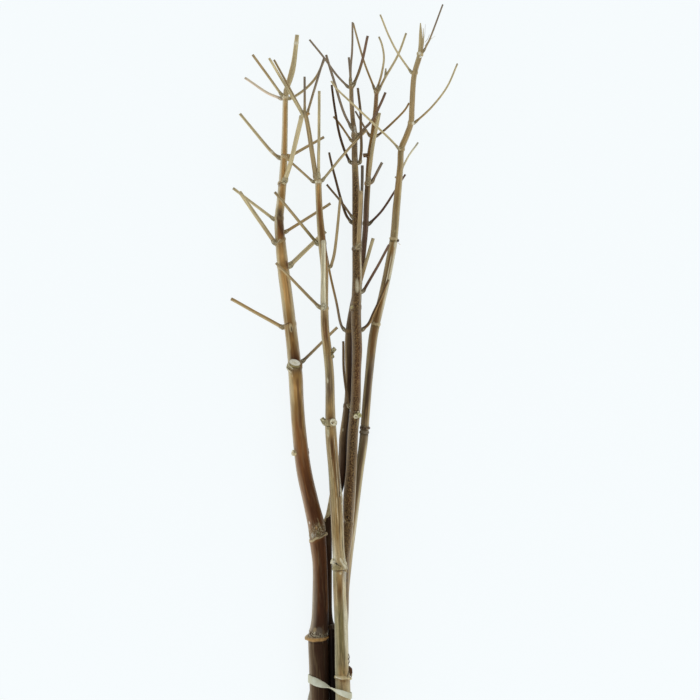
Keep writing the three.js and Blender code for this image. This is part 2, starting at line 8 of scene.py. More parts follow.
import bpy
import numpy as np
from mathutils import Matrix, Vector


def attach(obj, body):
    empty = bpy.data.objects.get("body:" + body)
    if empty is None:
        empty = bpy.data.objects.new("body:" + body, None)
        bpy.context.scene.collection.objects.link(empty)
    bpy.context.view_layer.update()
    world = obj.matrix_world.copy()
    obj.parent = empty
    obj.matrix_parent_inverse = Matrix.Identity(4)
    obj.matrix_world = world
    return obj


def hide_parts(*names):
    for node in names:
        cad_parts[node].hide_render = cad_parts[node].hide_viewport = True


BUNCH_LENGTH = 775.0  # mm, from the lowest cut end to the highest tip

# Points round a bar, and mm between its stations
STEM_SIDES, STEM_STEP = 88, 1.3
TWIG_SIDES, TWIG_STEP = 14, 1.0
STUB_SIDES, STUB_STEP = 24, 0.4
STRAND_SIDES, STRAND_STEP = 8, 0.8
RING_REACH, RING_STEP = 9, 0.5  # mm to either side of a joint, and between its closer stations

# What is added to a stem's seed for its first twig and its first stub
TWIG_SEED, STUB_SEED = 10, 60

RIGHT_SIDE, LEFT_SIDE = 0.0, 180.0  # degrees round a stem, seen along it from its foot


def colour(red, green, blue):
    """A colour given as the eye reads it on a screen, from 0 to 255, as linear light"""
    share = np.array([red, green, blue]) / 255.0
    return np.where(share <= 0.04045, share / 12.92, ((share + 0.055) / 1.055) ** 2.4)


INK = colour(24, 16, 10)
SOOT = colour(42, 27, 17)
UMBER = colour(60, 38, 23)
CHESTNUT = colour(82, 48, 24)
RUSSET = colour(106, 66, 34)
COPPER = colour(130, 86, 46)
GOLD = colour(146, 110, 60)
HONEY = colour(164, 134, 86)
OCHRE = colour(192, 150, 92)
TAN = colour(174, 152, 112)
STRAW = colour(198, 182, 140)
CREAM = colour(222, 214, 184)
CHALK = colour(234, 230, 212)
MOSS = colour(96, 88, 54)
OLIVE = colour(126, 113, 72)
SAGE = colour(156, 148, 112)
LICHEN = colour(190, 186, 136)
BARK = colour(80, 61, 42)
DRAB = colour(104, 85, 61)
PLUM = colour(74, 50, 40)
MAUVE = colour(116, 90, 74)
SLATE = colour(116, 107, 94)
TAUPE = colour(140, 125, 106)
ROSE = colour(146, 112, 84)
BRONZE = colour(116, 84, 48)
WINE = colour(66, 38, 21)
KHAKI = colour(136, 118, 82)
ASH = colour(186, 181, 166)
BLUSH = colour(226, 206, 182)


def joint(at, swell, **look):
    """A ring round a stem, `at` mm along it, standing `swell` mm proud for `half` mm to either side.
    `tilt` and `push` are (mm, degrees round the stem): how much further along, and out, it lies there.
    `ledge` is its colour; `crust` and `below` are (colour, mm, strength) of the crust over it and of the
    painted shade just under it, towards the foot."""
    return {"at": at, "swell": swell, "half": 3.0, "tilt": (0, 0), "push": (0, 0), "ledge": None,
            "crust": None, "below": None, "rough": 1.0, "strength": 1.0, **look}


def mark(at, across, length, width, dye, strength=0.8, rise=0.0):
    """An oval mark or lump, centred at `at` mm along and `across` the stem as seen from above, from -1 at
    its left edge to 1 at its right. It reaches `length` and `width` mm from there and rises `rise` mm."""
    return {"at": at, "across": across, "length": length, "width": width, "dye": dye,
            "strength": strength, "rise": rise}


def line(start, end, width, dye, strength=0.8, rise=0.0):
    """A crack or ridge between two places on a stem, each (along, across), `width` mm to either side"""
    return {"at": start[0], "across": start[1], "end": end, "width": width, "dye": dye,
            "strength": strength, "rise": rise}


def twig(thick, tones, *places, **look):
    """A branch: its thickness from root to tip, evenly spaced, its colours there, or one colour for both,
    and its places from inside the stem. `knots` are mm from its start to swollen rings, `collar` is how
    strong the swelling at its root is, and `streak` is (place across, colour) of a streak down one side as
    seen from above: a painted highlight where it is paler than the twig, painted shade where it is darker."""
    return {"thick": thick, "tones": np.broadcast_to(tones, (2, 3)), "places": places, "knots": (),
            "collar": 1.0, "streak": None, **look}


def stub(thick, *places, **look):
    """A short cut or broken piece that stands out of a stem. `rim`, `face` and `heart` colour its bark, its
    cut face and the middle of that. `squash` flattens its section, and `roll` turns that by degrees."""
    return {"thick": thick, "places": places, "rim": TAN, "face": CREAM, "heart": OCHRE, "squash": 1.0,
            "roll": 0.0, "ragged": 1.0, **look}


def strand(thick, *places, dye=CREAM, flat=1.0):
    """A loose fibre, or a thin scrap of bark `flat` times as thick through as across"""
    return {"thick": thick, "places": places, "dye": dye, "flat": flat}


# Each stem has a middle `line` of (side, along, height, radius), `tones` of (along, left, middle, right) as
# seen from above, whose left and right colours hold painted rim light and painted shade as well as the
# bark's own colour, and `streaks` of (place across, half width in radii, start, stop, colour, strength),
# partly the bark's own streaks and partly painted shade. The pale rim entry paints rim light down its sides
# as seen from
# above: (colour, [(along, strength at left, strength at right)]).
LEFT = {
    "node": "stem_left",
    "slot": "golden_bark",
    "rim_light": (colour(198, 184, 162), [(0, 0.2, 0), (145, 0.5, 0), (240, 0.5, 0.1), (270, 0.5, 0.5),
                                     (340, 0.6, 0.7), (380, 0.8, 0.8)]),
    "line": [
        (-23.8, 1, 9, 9.7), (-24.3, 40, 10.4, 9.6), (-24.5, 80, 11.5, 9.7), (-25.2, 112, 11.6, 9.9),
        (-26.2, 143, 10.8, 9.8), (-25.1, 151, 11.5, 9.1), (-24.1, 160, 12.3, 8.6), (-23.7, 182, 13.9, 8),
        (-24.1, 215, 15, 7.4), (-26, 238, 15.4, 8.3), (-27.3, 253, 15.8, 8.6), (-32.4, 275, 16.3, 7.9),
        (-40.1, 310, 17.1, 7.6), (-44.9, 350, 18, 7), (-47.2, 380, 18.6, 6.9), (-48.5, 405, 19.1, 7.1),
        (-50.9, 430, 19.6, 6.4), (-56.8, 480, 20.5, 5.9), (-60.6, 510, 21, 5.9), (-63.4, 538, 21.4, 5.2),
        (-64.9, 560, 21.7, 4.6), (-62.9, 580, 21.9, 4.2), (-60.8, 605, 22.1, 3.9), (-59.5, 635, 22.3, 3.1),
        (-58.8, 670, 22.7, 2.8), (-58.6, 685, 23, 2.7),
    ],
    # The right side is darkest near the foot, where the stems beside it shade it: painted shade
    "tones": [
        (0, DRAB, UMBER, INK), (100, DRAB, UMBER, SOOT), (139, DRAB, UMBER, UMBER),
        (152, TAUPE, UMBER, UMBER), (165, TAUPE, WINE, UMBER), (182, TAUPE, WINE, UMBER),
        (225, ROSE, CHESTNUT, CHESTNUT), (240, ROSE, CHESTNUT, CHESTNUT), (262, ROSE, CHESTNUT, RUSSET),
        (290, ROSE, CHESTNUT, RUSSET), (318, ROSE, RUSSET, COPPER), (330, ROSE, COPPER, COPPER),
        (355, HONEY, COPPER, HONEY), (374, TAN, GOLD, HONEY), (392, STRAW, OCHRE, HONEY),
        (405, STRAW, GOLD, HONEY), (412, TAN, DRAB, CHESTNUT), (421, STRAW, CHESTNUT, RUSSET),
        (440, TAN, GOLD, TAN), (450, HONEY, BRONZE, STRAW), (466, TAN, GOLD, STRAW),
        (480, STRAW, OCHRE, STRAW), (506, STRAW, OCHRE, STRAW), (514, STRAW, GOLD, COPPER),
        (524, STRAW, OCHRE, STRAW), (538, TAN, GOLD, TAN), (545, STRAW, COPPER, CHESTNUT),
        (556, STRAW, BRONZE, PLUM), (563, STRAW, BARK, DRAB), (569, STRAW, DRAB, TAN),
        (576, CREAM, OCHRE, STRAW), (584, STRAW, GOLD, HONEY), (597, CREAM, OCHRE, STRAW),
        (672, CREAM, OCHRE, STRAW), (687, CREAM, STRAW, STRAW),
    ],
    "streaks": [
        (0.3, 0.24, 345, 408, CHESTNUT, 0.65), (-0.5, 0.14, 372, 402, STRAW, 0.5),
        (0.12, 0.2, 421, 446, CHESTNUT, 0.4), (0.42, 0.14, 470, 508, COPPER, 0.5),
        (0.1, 0.2, 190, 235, UMBER, 0.3), (0.8, 0.16, 165, 236, COPPER, 0.4),
        (-0.2, 0.2, 60, 130, BARK, 0.4), (0.3, 0.16, 600, 680, GOLD, 0.4),
        (-0.2, 0.12, 276, 340, COPPER, 0.5), (-0.5, 0.14, 425, 505, STRAW, 0.35),
        (-0.55, 0.16, 543, 570, CREAM, 0.5), (-0.25, 0.14, 165, 235, RUSSET, 0.5),
    ],
    "joints": [
        joint(58, 0.9, ledge=OCHRE, crust=(ASH, 7, 0.7), below=(SOOT, 6, 0.5)),
        joint(142.4, 1.1, half=2.7, tilt=(-2.2, 100), push=(1.8, 176), ledge=OCHRE, crust=(DRAB, 9, 1),
              below=(SOOT, 3, 0.6), rough=1.4),
        joint(242.3, 0.7, half=1.7, tilt=(3.2, RIGHT_SIDE), push=(1.2, 10), ledge=STRAW,
              crust=(KHAKI, 15, 0.55), below=(COPPER, 3, 0.4), rough=2),
        joint(414, 0.8, half=4.6, push=(0.4, LEFT_SIDE), ledge=OLIVE, crust=(CHESTNUT, 6, 0.5),
              strength=0.5, rough=1.8),
        joint(454.5, 0.3, tilt=(-1.5, LEFT_SIDE), ledge=HONEY, strength=0.4),
        joint(514.5, 0.35, ledge=HONEY, strength=0.3),
        joint(538, 0.5, ledge=TAN, tilt=(-3, LEFT_SIDE), half=2.2, strength=0.5, rough=2),
        joint(562, 0.3, ledge=TAN, strength=0.3),
        joint(598, 0.7, half=2.2, tilt=(-1.5, LEFT_SIDE), ledge=TAN, below=(RUSSET, 3, 0.6), rough=1.6),
        joint(623, 0.6, half=2.2, ledge=STRAW, strength=0.7, rough=1.6),
        joint(683, 0.7, half=2.2, ledge=CREAM, below=(HONEY, 3, 0.3), strength=0.7),
    ],
    "marks": [
        # The crust over the lowest ring
        mark(149, 0.05, 4.5, 5, SLATE, 0.5, 0.2), mark(150.5, -0.45, 3, 2.2, TAN, 0.6, 0.2),
        mark(149, 0.6, 2.4, 2, DRAB, 0.6, 0.1), mark(141.8, -0.97, 2.6, 3, TAN, 0.6, 0.9),
        line((147.6, -0.85), (143.6, -0.6), 0.6, UMBER, 0.7, -0.3),
        line((144.4, -0.55), (144.2, 0.8), 0.5, CREAM, 0.7, 0.2),
        # The crust over the tilted ring
        line((241.8, 0.05), (247.5, 0.92), 0.6, SOOT, 0.6, -0.3), mark(245, -0.62, 3.2, 1.9, ASH),
        mark(245.5, -0.25, 3, 0.9, SLATE, 0.7), mark(247, 0.1, 3.6, 1.2, MOSS, 0.7),
        mark(252.5, -0.05, 1.8, 0.9, OCHRE, 0.7), mark(258.5, -0.75, 1.4, 1.1, CHALK, 0.7),
        mark(254, 0.35, 4.5, 1.2, OLIVE, 0.6), mark(250, 0.6, 4, 1, UMBER, 0.4),
        mark(256, -0.4, 4, 0.9, UMBER, 0.6), line((246, 0.5), (262, 0.3), 0.6, TAN, 0.5),
        # The big joint: folded bark at the left of its cut branch, and a pale patch under it
        mark(413.5, -0.92, 5, 3.4, SAGE, 0.7, 0.5), line((416, -1), (409.5, -0.42), 0.6, INK, 0.85, -0.3),
        line((414, -1.05), (407.6, -0.55), 0.6, CREAM, 0.85, 0.3),
        line((417.5, -0.85), (411.2, -0.25), 0.6, CREAM, 0.85, 0.2),
        line((418.5, -0.7), (412.6, -0.15), 0.5, MOSS, 0.7, -0.2), mark(415.2, 0.8, 3.6, 3, GOLD, 0.6, 0.9),
        line((412.4, -0.2), (414.5, 0.75), 0.6, UMBER, 0.7, -0.2),
        mark(403.5, -0.55, 2.6, 1.6, OCHRE, 0.4, 0.1), mark(404.5, -0.45, 1.4, 0.9, CREAM, 0.3),
        # A curled scar and the crack from it to the branch beside it
        mark(452, 0.05, 4.8, 1.9, STRAW, 0.75, 0.3), mark(451, 0.12, 2.8, 0.8, UMBER, 0.8, -0.3),
        line((455.5, -0.95), (457.5, -0.1), 0.6, UMBER, 0.7, -0.2),
        mark(327, 0.98, 2, 1.4, UMBER, 0.9, 0.5),
        # Folds and shaded bark at the roots of the upper branches
        mark(515, 0.75, 4.5, 2, CHESTNUT, 0.55), line((534, -1), (540, -0.1), 0.6, MOSS, 0.7, -0.2),
        line((536, -0.8), (541, 0), 0.6, CREAM, 0.6, 0.2), mark(538.8, 0.05, 2, 1.6, SAGE, 0.35, 0.1),
        mark(549.5, 0.5, 6, 2.6, WINE, 0.45), line((563, -0.4), (550, 0.35), 1.2, CHESTNUT, 0.6),
        line((595.5, -0.9), (597.5, 0.1), 0.5, UMBER, 0.8, -0.2),
        line((597.5, 0.1), (595.8, 0.9), 0.5, UMBER, 0.8, -0.2),
        line((685.6, -0.75), (684.4, 0), 0.7, CHESTNUT, 0.9, -0.5),
        line((684.4, 0), (685.2, 0.75), 0.7, CHESTNUT, 0.9, -0.5),
    ],
    "twigs": [
        twig((3.2, 2.8), (DRAB, TAN), (-45, 416.5, 19.4), (-40, 420, 19.4), (-6.8, 452.6, 18)),
        twig((3.8, 3.3), HONEY, (-55, 455, 20), (-62.5, 453.2, 19.4), (-113, 481.2, 15),
             streak=(-0.6, STRAW)),
        twig((4.6, 4.2), STRAW, (-58, 513, 21.2), (-53.3, 515.2, 21.6), (-18.6, 548.6, 24.5)),
        twig((4.2, 3.8), (TAN, STRAW), (-65, 536, 22.4), (-69.9, 538.4, 23.5), (-104, 587.6, 36)),
        twig((3.2, 2.8), (HONEY, TAN), (-62, 547, 21.6), (-57.6, 548.6, 21.6), (-13.5, 576.5, 22.5)),
        twig((3.2, 2.8), STRAW, (-66, 560, 21), (-71.8, 562, 20), (-111, 592, 11)),
        twig((4.4, 4.6, 4.8), STRAW, (-60.6, 597.5, 23), (-58.9, 599.5, 26.5), (-53.4, 616, 36.5),
             (-42, 662, 60)),
        twig((3.4, 2.8), (TAN, STRAW), (-60.2, 622, 22.2), (-65, 622.4, 22.2), (-70.5, 626.5, 22.6),
             (-104, 666, 26), knots=(14,)),
        twig((3.2, 2.8), TAN, (-59.8, 621.5, 22), (-55.2, 623, 21.6), (-20, 643, 18)),
        twig((3.4, 3), (HONEY, TAN), (-60.5, 599, 20.5), (-60.3, 602, 17.8), (-59.5, 632, 0.6)),
        twig((2.8, 2.6), (STRAW, TAN), (-60, 683, 23), (-62.9, 685.8, 23.3), (-91.3, 724.8, 28)),
        twig((2.9, 2.6), BLUSH, (-59.5, 683, 23), (-63.5, 681.4, 22), (-76.9, 687.4, 19),
             (-99.2, 702.5, 12), streak=(0.6, CREAM)),
        twig((2.8, 2.4), (STRAW, TAN), (-57.5, 683, 22.8), (-54.5, 681.4, 22.5), (-49.6, 683.4, 22),
             (-38, 691.6, 21), (-27.2, 704, 20.5), (-19.3, 721.5, 20.5)),
        twig((4.6, 5, 5.8, 5.8, 5.2, 4.7, 4.3, 4), STRAW, (-58.2, 683, 23), (-57.2, 691, 23.4),
             (-51, 711.7, 25), (-46.7, 744.6, 29), streak=(-0.5, TAN), knots=(55,), collar=0.4),
    ],
    "stubs": [
        stub((12.4, 12, 11.4), (-49.8, 414.2, 21), (-49.6, 415.6, 25), (-49.2, 417.6, 28.6), squash=0.6,
             roll=20, rim=OLIVE, face=CHALK, heart=CREAM, ragged=0.3),
        stub((7.2, 6.4, 5.2), (-45, 326.5, 18.6), (-49.2, 327, 20.4), (-51.6, 327.2, 21.4), rim=STRAW,
             face=CREAM, ragged=1.6),
        stub((2.6, 1.8), (-39, 330, 17.5), (-35.4, 331, 17.8), rim=RUSSET, face=TAUPE),
        stub((4.2, 3.2), (-66, 560, 21.4), (-70.6, 560.4, 21.8), rim=SAGE, face=TAN),
        stub((3.4, 2.4), (-56.5, 622, 22.4), (-55.4, 625.6, 23.8), rim=HONEY, face=TAN),
    ],
    "strands": [
        strand((1, 2.2, 1.8), (-33.4, 91, 12.4), (-34.9, 83, 13), (-37, 72, 12.4), dye=ASH, flat=0.35),
    ],
}

FRONT = {
    "node": "stem_front",
    "slot": "pale_bark",
    "rim_light": (colour(178, 168, 148), [(0, 0.4, 0.5), (380, 0.7, 0.6)]),
    "line": [
        (0.3, 8, 29.3, 7.8), (-0.4, 45, 29.6, 7.6), (-0.9, 80, 29.9, 7.6), (-1.2, 96, 30, 7.5),
        (-2, 114, 30.1, 7), (-2.9, 160, 30.3, 6.7), (-4.1, 182, 30.4, 6.3), (-4.5, 200, 30.5, 6.6),
        (-4.3, 215, 30.6, 6.8), (-5.5, 230, 30.7, 6.1), (-7.4, 275, 31.2, 6.3), (-10, 310, 31.8, 5.6),
        (-13.1, 348, 32.4, 5.7), (-13.7, 372, 33, 4.9), (-14.3, 405, 33.6, 4.5), (-16.6, 430, 34.1, 4.4),
        (-18.8, 450, 34.5, 4.2), (-19.6, 480, 35, 3.9), (-19.4, 510, 35.5, 3.8), (-21.8, 537, 36, 4),
        (-24.2, 565, 36.4, 3.4), (-25.3, 588, 36.7, 3.2), (-25.5, 600, 37, 3.2),
    ],
    "tones": [
        (0, SAGE, TAN, STRAW), (90, SAGE, TAN, STRAW), (108, SAGE, HONEY, TAN), (118, SAGE, KHAKI, STRAW),
        (140, SAGE, OLIVE, CREAM), (165, SAGE, OLIVE, CREAM), (178, TAN, KHAKI, STRAW),
        (190, TAN, BRONZE, STRAW), (206, SAGE, HONEY, ASH), (224, CREAM, TAN, STRAW),
        (245, TAN, HONEY, STRAW), (262, TAN, HONEY, TAN), (300, SAGE, HONEY, DRAB),
        (328, TAN, BRONZE, HONEY), (340, TAN, BRONZE, HONEY), (350, STRAW, HONEY, TAN),
        (362, TAN, BRONZE, TAN), (372, TAN, HONEY, TAN), (392, TAUPE, DRAB, TAN), (415, STRAW, KHAKI, TAN),
        (432, STRAW, GOLD, HONEY), (445, STRAW, COPPER, HONEY), (460, TAN, BRONZE, TAN),
        (475, STRAW, TAN, TAN), (500, STRAW, TAN, HONEY), (530, STRAW, BRONZE, COPPER),
        (540, STRAW, BRONZE, COPPER), (556, STRAW, BRONZE, HONEY), (570, STRAW, COPPER, TAN),
        (592, STRAW, OCHRE, TAN), (600, CREAM, TAN, TAN),
    ],
    "streaks": [
        (0.42, 0.12, 118, 150, MOSS, 0.5), (-0.4, 0.12, 118, 205, STRAW, 0.5),
        (-0.12, 0.16, 125, 170, MOSS, 0.5), (0.6, 0.14, 125, 205, CREAM, 0.6),
        (0.05, 0.14, 165, 205, BRONZE, 0.3), (0.72, 0.05, 224, 262, UMBER, 0.8),
        (-0.1, 0.12, 236, 262, GOLD, 0.7), (0.35, 0.08, 224, 262, SLATE, 0.5),
        (-0.75, 0.1, 240, 300, BRONZE, 0.5), (-0.15, 0.07, 262, 345, UMBER, 0.55),
        (0.3, 0.06, 240, 330, UMBER, 0.6), (-0.45, 0.06, 235, 300, MOSS, 0.6),
        (0.08, 0.06, 255, 290, CREAM, 0.8), (0.5, 0.06, 280, 350, CREAM, 0.6),
        (-0.3, 0.05, 262, 330, STRAW, 0.6), (0.62, 0.06, 262, 330, BRONZE, 0.6),
        (0.15, 0.14, 284, 345, CHESTNUT, 0.6), (-0.25, 0.12, 300, 345, STRAW, 0.5),
        (0.05, 0.24, 376, 428, MAUVE, 0.5), (0.2, 0.16, 430, 466, CHESTNUT, 0.5),
        (-0.2, 0.1, 430, 465, STRAW, 0.35),
    ],
    "joints": [
        joint(103, 0.9, half=1.8, tilt=(1.4, 150), push=(0.9, RIGHT_SIDE), ledge=STRAW,
              below=(BRONZE, 6, 0.45), rough=1.4),
        joint(214.5, 0.8, half=5.5, ledge=SAGE, strength=0.5, rough=2.6),
        joint(357.5, 0.5, half=3.6, ledge=SAGE, crust=(SLATE, 4, 0.4), rough=1.8, strength=0.6),
        joint(471.5, 0.5, half=2.4, ledge=TAN, crust=(SLATE, 3, 0.4), rough=1.8, strength=0.5),
        joint(537, 0.3, ledge=SAGE, strength=0.5),
        joint(597.5, 0.6, half=2.4, ledge=CREAM, rough=1.4),
    ],
    "marks": [
        # The collar by the band
        line((104.6, -0.85), (102, -0.1), 0.7, CHALK, 0.8, 0.3),
        line((102, -0.1), (103.4, 0.9), 0.8, STRAW, 0.7, 0.3),
        line((100.2, -0.3), (99.8, 0.45), 1.1, BRONZE, 0.5, -0.1), mark(112, 0.1, 5, 1.6, OLIVE, 0.4),
        line((103.6, 0.62), (109.5, 0.93), 0.9, INK, 0.9, -0.3), mark(108.5, 0.25, 2, 1, MOSS, 0.6),
        mark(116.5, -0.05, 2.2, 0.8, MOSS, 0.5),
        # The lumpy joint
        mark(219, -0.88, 2.4, 2.6, CHALK, 0.85, 1.9), mark(212.5, -0.5, 3.4, 3.8, OLIVE, 0.75, 1),
        line((217.8, -0.6), (215.2, -0.05), 0.6, INK, 0.8, -0.5),
        mark(217.4, -0.45, 1, 0.9, INK, 0.8, -0.5), line((222.5, 0.15), (217, 0.4), 1.2, CREAM, 0.85, 0.7),
        line((217, 0.35), (211.5, 0.85), 1.2, CREAM, 0.85, 0.9),
        line((209.6, -0.8), (210.2, 0.2), 0.7, UMBER, 0.75, -0.5),
        line((210.6, 0.2), (210, 0.85), 0.6, UMBER, 0.75, -0.5),
        mark(210.5, 0.8, 1.7, 1.7, HONEY, 0.7, 0.9), mark(214.5, 0.15, 1.6, 1, UMBER, 0.6, -0.3),
        mark(207.5, 0.1, 1.3, 1.2, CREAM, 0.5, 0.2), line((222, 0.7), (216, 0.85), 0.7, CREAM, 0.7, 0.3),
        # Torn bark and a notch over it
        line((294, 0.8), (283, 0.55), 0.6, UMBER, 0.8, -0.4),
        line((296, 0.9), (284, 0.72), 0.6, CHALK, 0.8, 0.4),
        line((290, 0.93), (265, 0.9), 0.8, CREAM, 0.8, 0.3), mark(286.5, 0.8, 1.8, 1.2, SAGE, 0.7, 0.4),
        mark(322, -0.25, 0.8, 0.7, INK, 0.9, -0.3),
        # The joint with the cut scar: its left side and the stem under it
        mark(351, -0.45, 6, 1.9, SAGE, 0.6), mark(347.5, -0.5, 4.2, 1.5, CREAM, 0.6, 0.15),
        mark(347, -0.5, 2.6, 0.7, SAGE), mark(358, -0.6, 3, 2.2, SAGE, 0.6, 0.5),
        line((354.5, -0.9), (354.2, 0.2), 0.6, MOSS, 0.8, -0.3),
        mark(400, -0.5, 3.2, 1.1, CREAM, 0.8, 0.15), mark(401.5, -0.4, 1, 0.5, OLIVE, 0.6),
        mark(440, 0.5, 12, 1, SLATE, 0.35), mark(471.5, 0.1, 1.5, 2, SLATE, 0.6, 0.2),
        line((596, -0.8), (596, 0.8), 0.5, GOLD, 0.7, -0.2),
    ],
    "twigs": [
        twig((4, 4), CREAM, (-20.2, 471, 36), (-20.1, 473.5, 39.4), (-20.3, 538.5, 62),
             streak=(-0.35, OLIVE)),
        twig((3.2, 2.8), TAN, (-21.5, 471.5, 35), (-26.2, 474.2, 35), (-67.8, 516.8, 33.5)),
        twig((3.2, 2.6), TAN, (-18.5, 512, 35.5), (-12.6, 514.5, 35.8), (-9.6, 526, 36.4),
             (-3.5, 582.3, 39)),
        twig((3.2, 2.8), (OLIVE, TAN), (-22.5, 535.5, 36), (-26.8, 536.2, 36.2), (-69, 587.5, 34)),
        twig((2.6, 2.3), TAN, (-26, 598, 37), (-31.6, 598.2, 36.3), (-50.8, 615.6, 32.5),
             (-61.9, 625.6, 30)),
        twig((3.2, 2.8), STRAW, (-25.6, 598, 37.4), (-25.4, 602, 38), (-24.6, 687.8, 44)),
        twig((2.8, 2.4), (STRAW, TAN), (-24.5, 598, 37), (-21.4, 599.2, 36.8), (0.6, 626, 31),
             (10.8, 637.7, 29), (23, 650, 28.5)),
        # The main stem's bent top, with the four twigs of its last joint
        twig((4.8, 4.8, 4.4), TAN, (-25.6, 597, 37), (-28, 602.5, 37), (-37.4, 660.4, 38),
             (-39.3, 667, 38.2), collar=0.5),
        twig((3, 2.6), STRAW, (-39.4, 662.6, 38), (-41.4, 665, 38), (-74.6, 720.8, 37), collar=0.4),
        twig((2.4, 2.1), (STRAW, TAN), (-39.2, 662.6, 37.8), (-40.6, 665.6, 36.8), (-69.8, 719.4, 33),
             collar=0.4),
        twig((2.6, 2.3), (TAN, TAUPE), (-39.5, 664.5, 38.2), (-39.1, 667, 38.5), (-39.2, 702.2, 41),
             collar=0.4),
        twig((2.6, 2.2), (TAN, TAUPE), (-39, 664.5, 38), (-36.2, 667, 38), (-27.6, 696.4, 37.3),
             (-19.7, 721.3, 36.5), collar=0.4),
        # A branch on the far side
        twig((3.6, 3.2), (TAN, STRAW), (-20.4, 471, 34), (-20.3, 474, 30.5), (-20, 518, 14)),
    ],
    "stubs": [
        stub((4.6, 4.4, 3.8), (-14.2, 426.5, 34), (-11.2, 429.2, 34.8), (-8.8, 431.8, 35.4), rim=SAGE,
             face=ASH, heart=MOSS, ragged=2),
        stub((5.4, 4.2), (-13.6, 423, 34.2), (-10.9, 424.2, 35.8), rim=OLIVE, face=SAGE, ragged=2),
        stub((2.4, 1.8), (-12, 427, 36), (-11, 427.6, 38.2), rim=MOSS, face=UMBER),
        stub((6, 6, 3.8), (-14, 356.6, 33), (-19.2, 358, 33.4), (-22.4, 362, 33.8), rim=SAGE, face=ASH,
             heart=MOSS, ragged=2),
        stub((8.6, 8.2, 7.6), (-12.2, 357.2, 34.5), (-11.2, 357.4, 37.6), (-10.4, 358, 39.2), rim=KHAKI,
             face=CREAM, heart=TAN, ragged=0.7),
        # This dark stub stands for the hollow in the cut scar: its dark face and heart are painted shade
        stub((2.8, 2.4), (-12.2, 357, 37.6), (-12.4, 356.8, 40.1), rim=OLIVE, face=UMBER, heart=INK),
        stub((6.8, 5.4), (-7, 217.5, 31.4), (-12.4, 219.5, 33), rim=CREAM, face=CREAM, heart=ASH, ragged=2),
        stub((6.4, 4.6), (-2, 212, 31), (3, 211, 31.8), rim=HONEY, face=OLIVE, heart=UMBER, ragged=2),
        stub((4.2, 3.2), (3.6, 104, 30.2), (6.2, 107.4, 30.6), rim=CREAM, face=CREAM, heart=UMBER),
        stub((1.6, 3.2, 3.4, 1), (6.2, 105, 31), (7, 108.2, 31.5), (6.6, 111.4, 31.7), (5, 114.6, 31.6),
             rim=CHESTNUT, face=CHESTNUT, heart=SOOT),
        stub((3.4, 2.6), (-36.6, 664.8, 38.2), (-34.6, 665.8, 39.2), rim=OCHRE, face=TAN),
    ],
    "strands": [
        strand((1.4, 1.2, 0.6), (6.6, 102.5, 31), (7.7, 106, 32), (7.9, 109.8, 32.4), dye=STRAW),
        strand((0.9, 0.6), (4, 121, 33), (5.4, 124, 33), (4.6, 127, 32.6), dye=DRAB),
        strand((0.8, 0.5), (4.2, 117, 33), (5.4, 119, 33), (5, 122.6, 32.6), dye=DRAB),
        strand((0.7, 0.4), (-2.6, 276, 34.5), (-1.2, 280, 35.2), (-1.6, 286, 35.2), dye=CHALK),
    ],
}

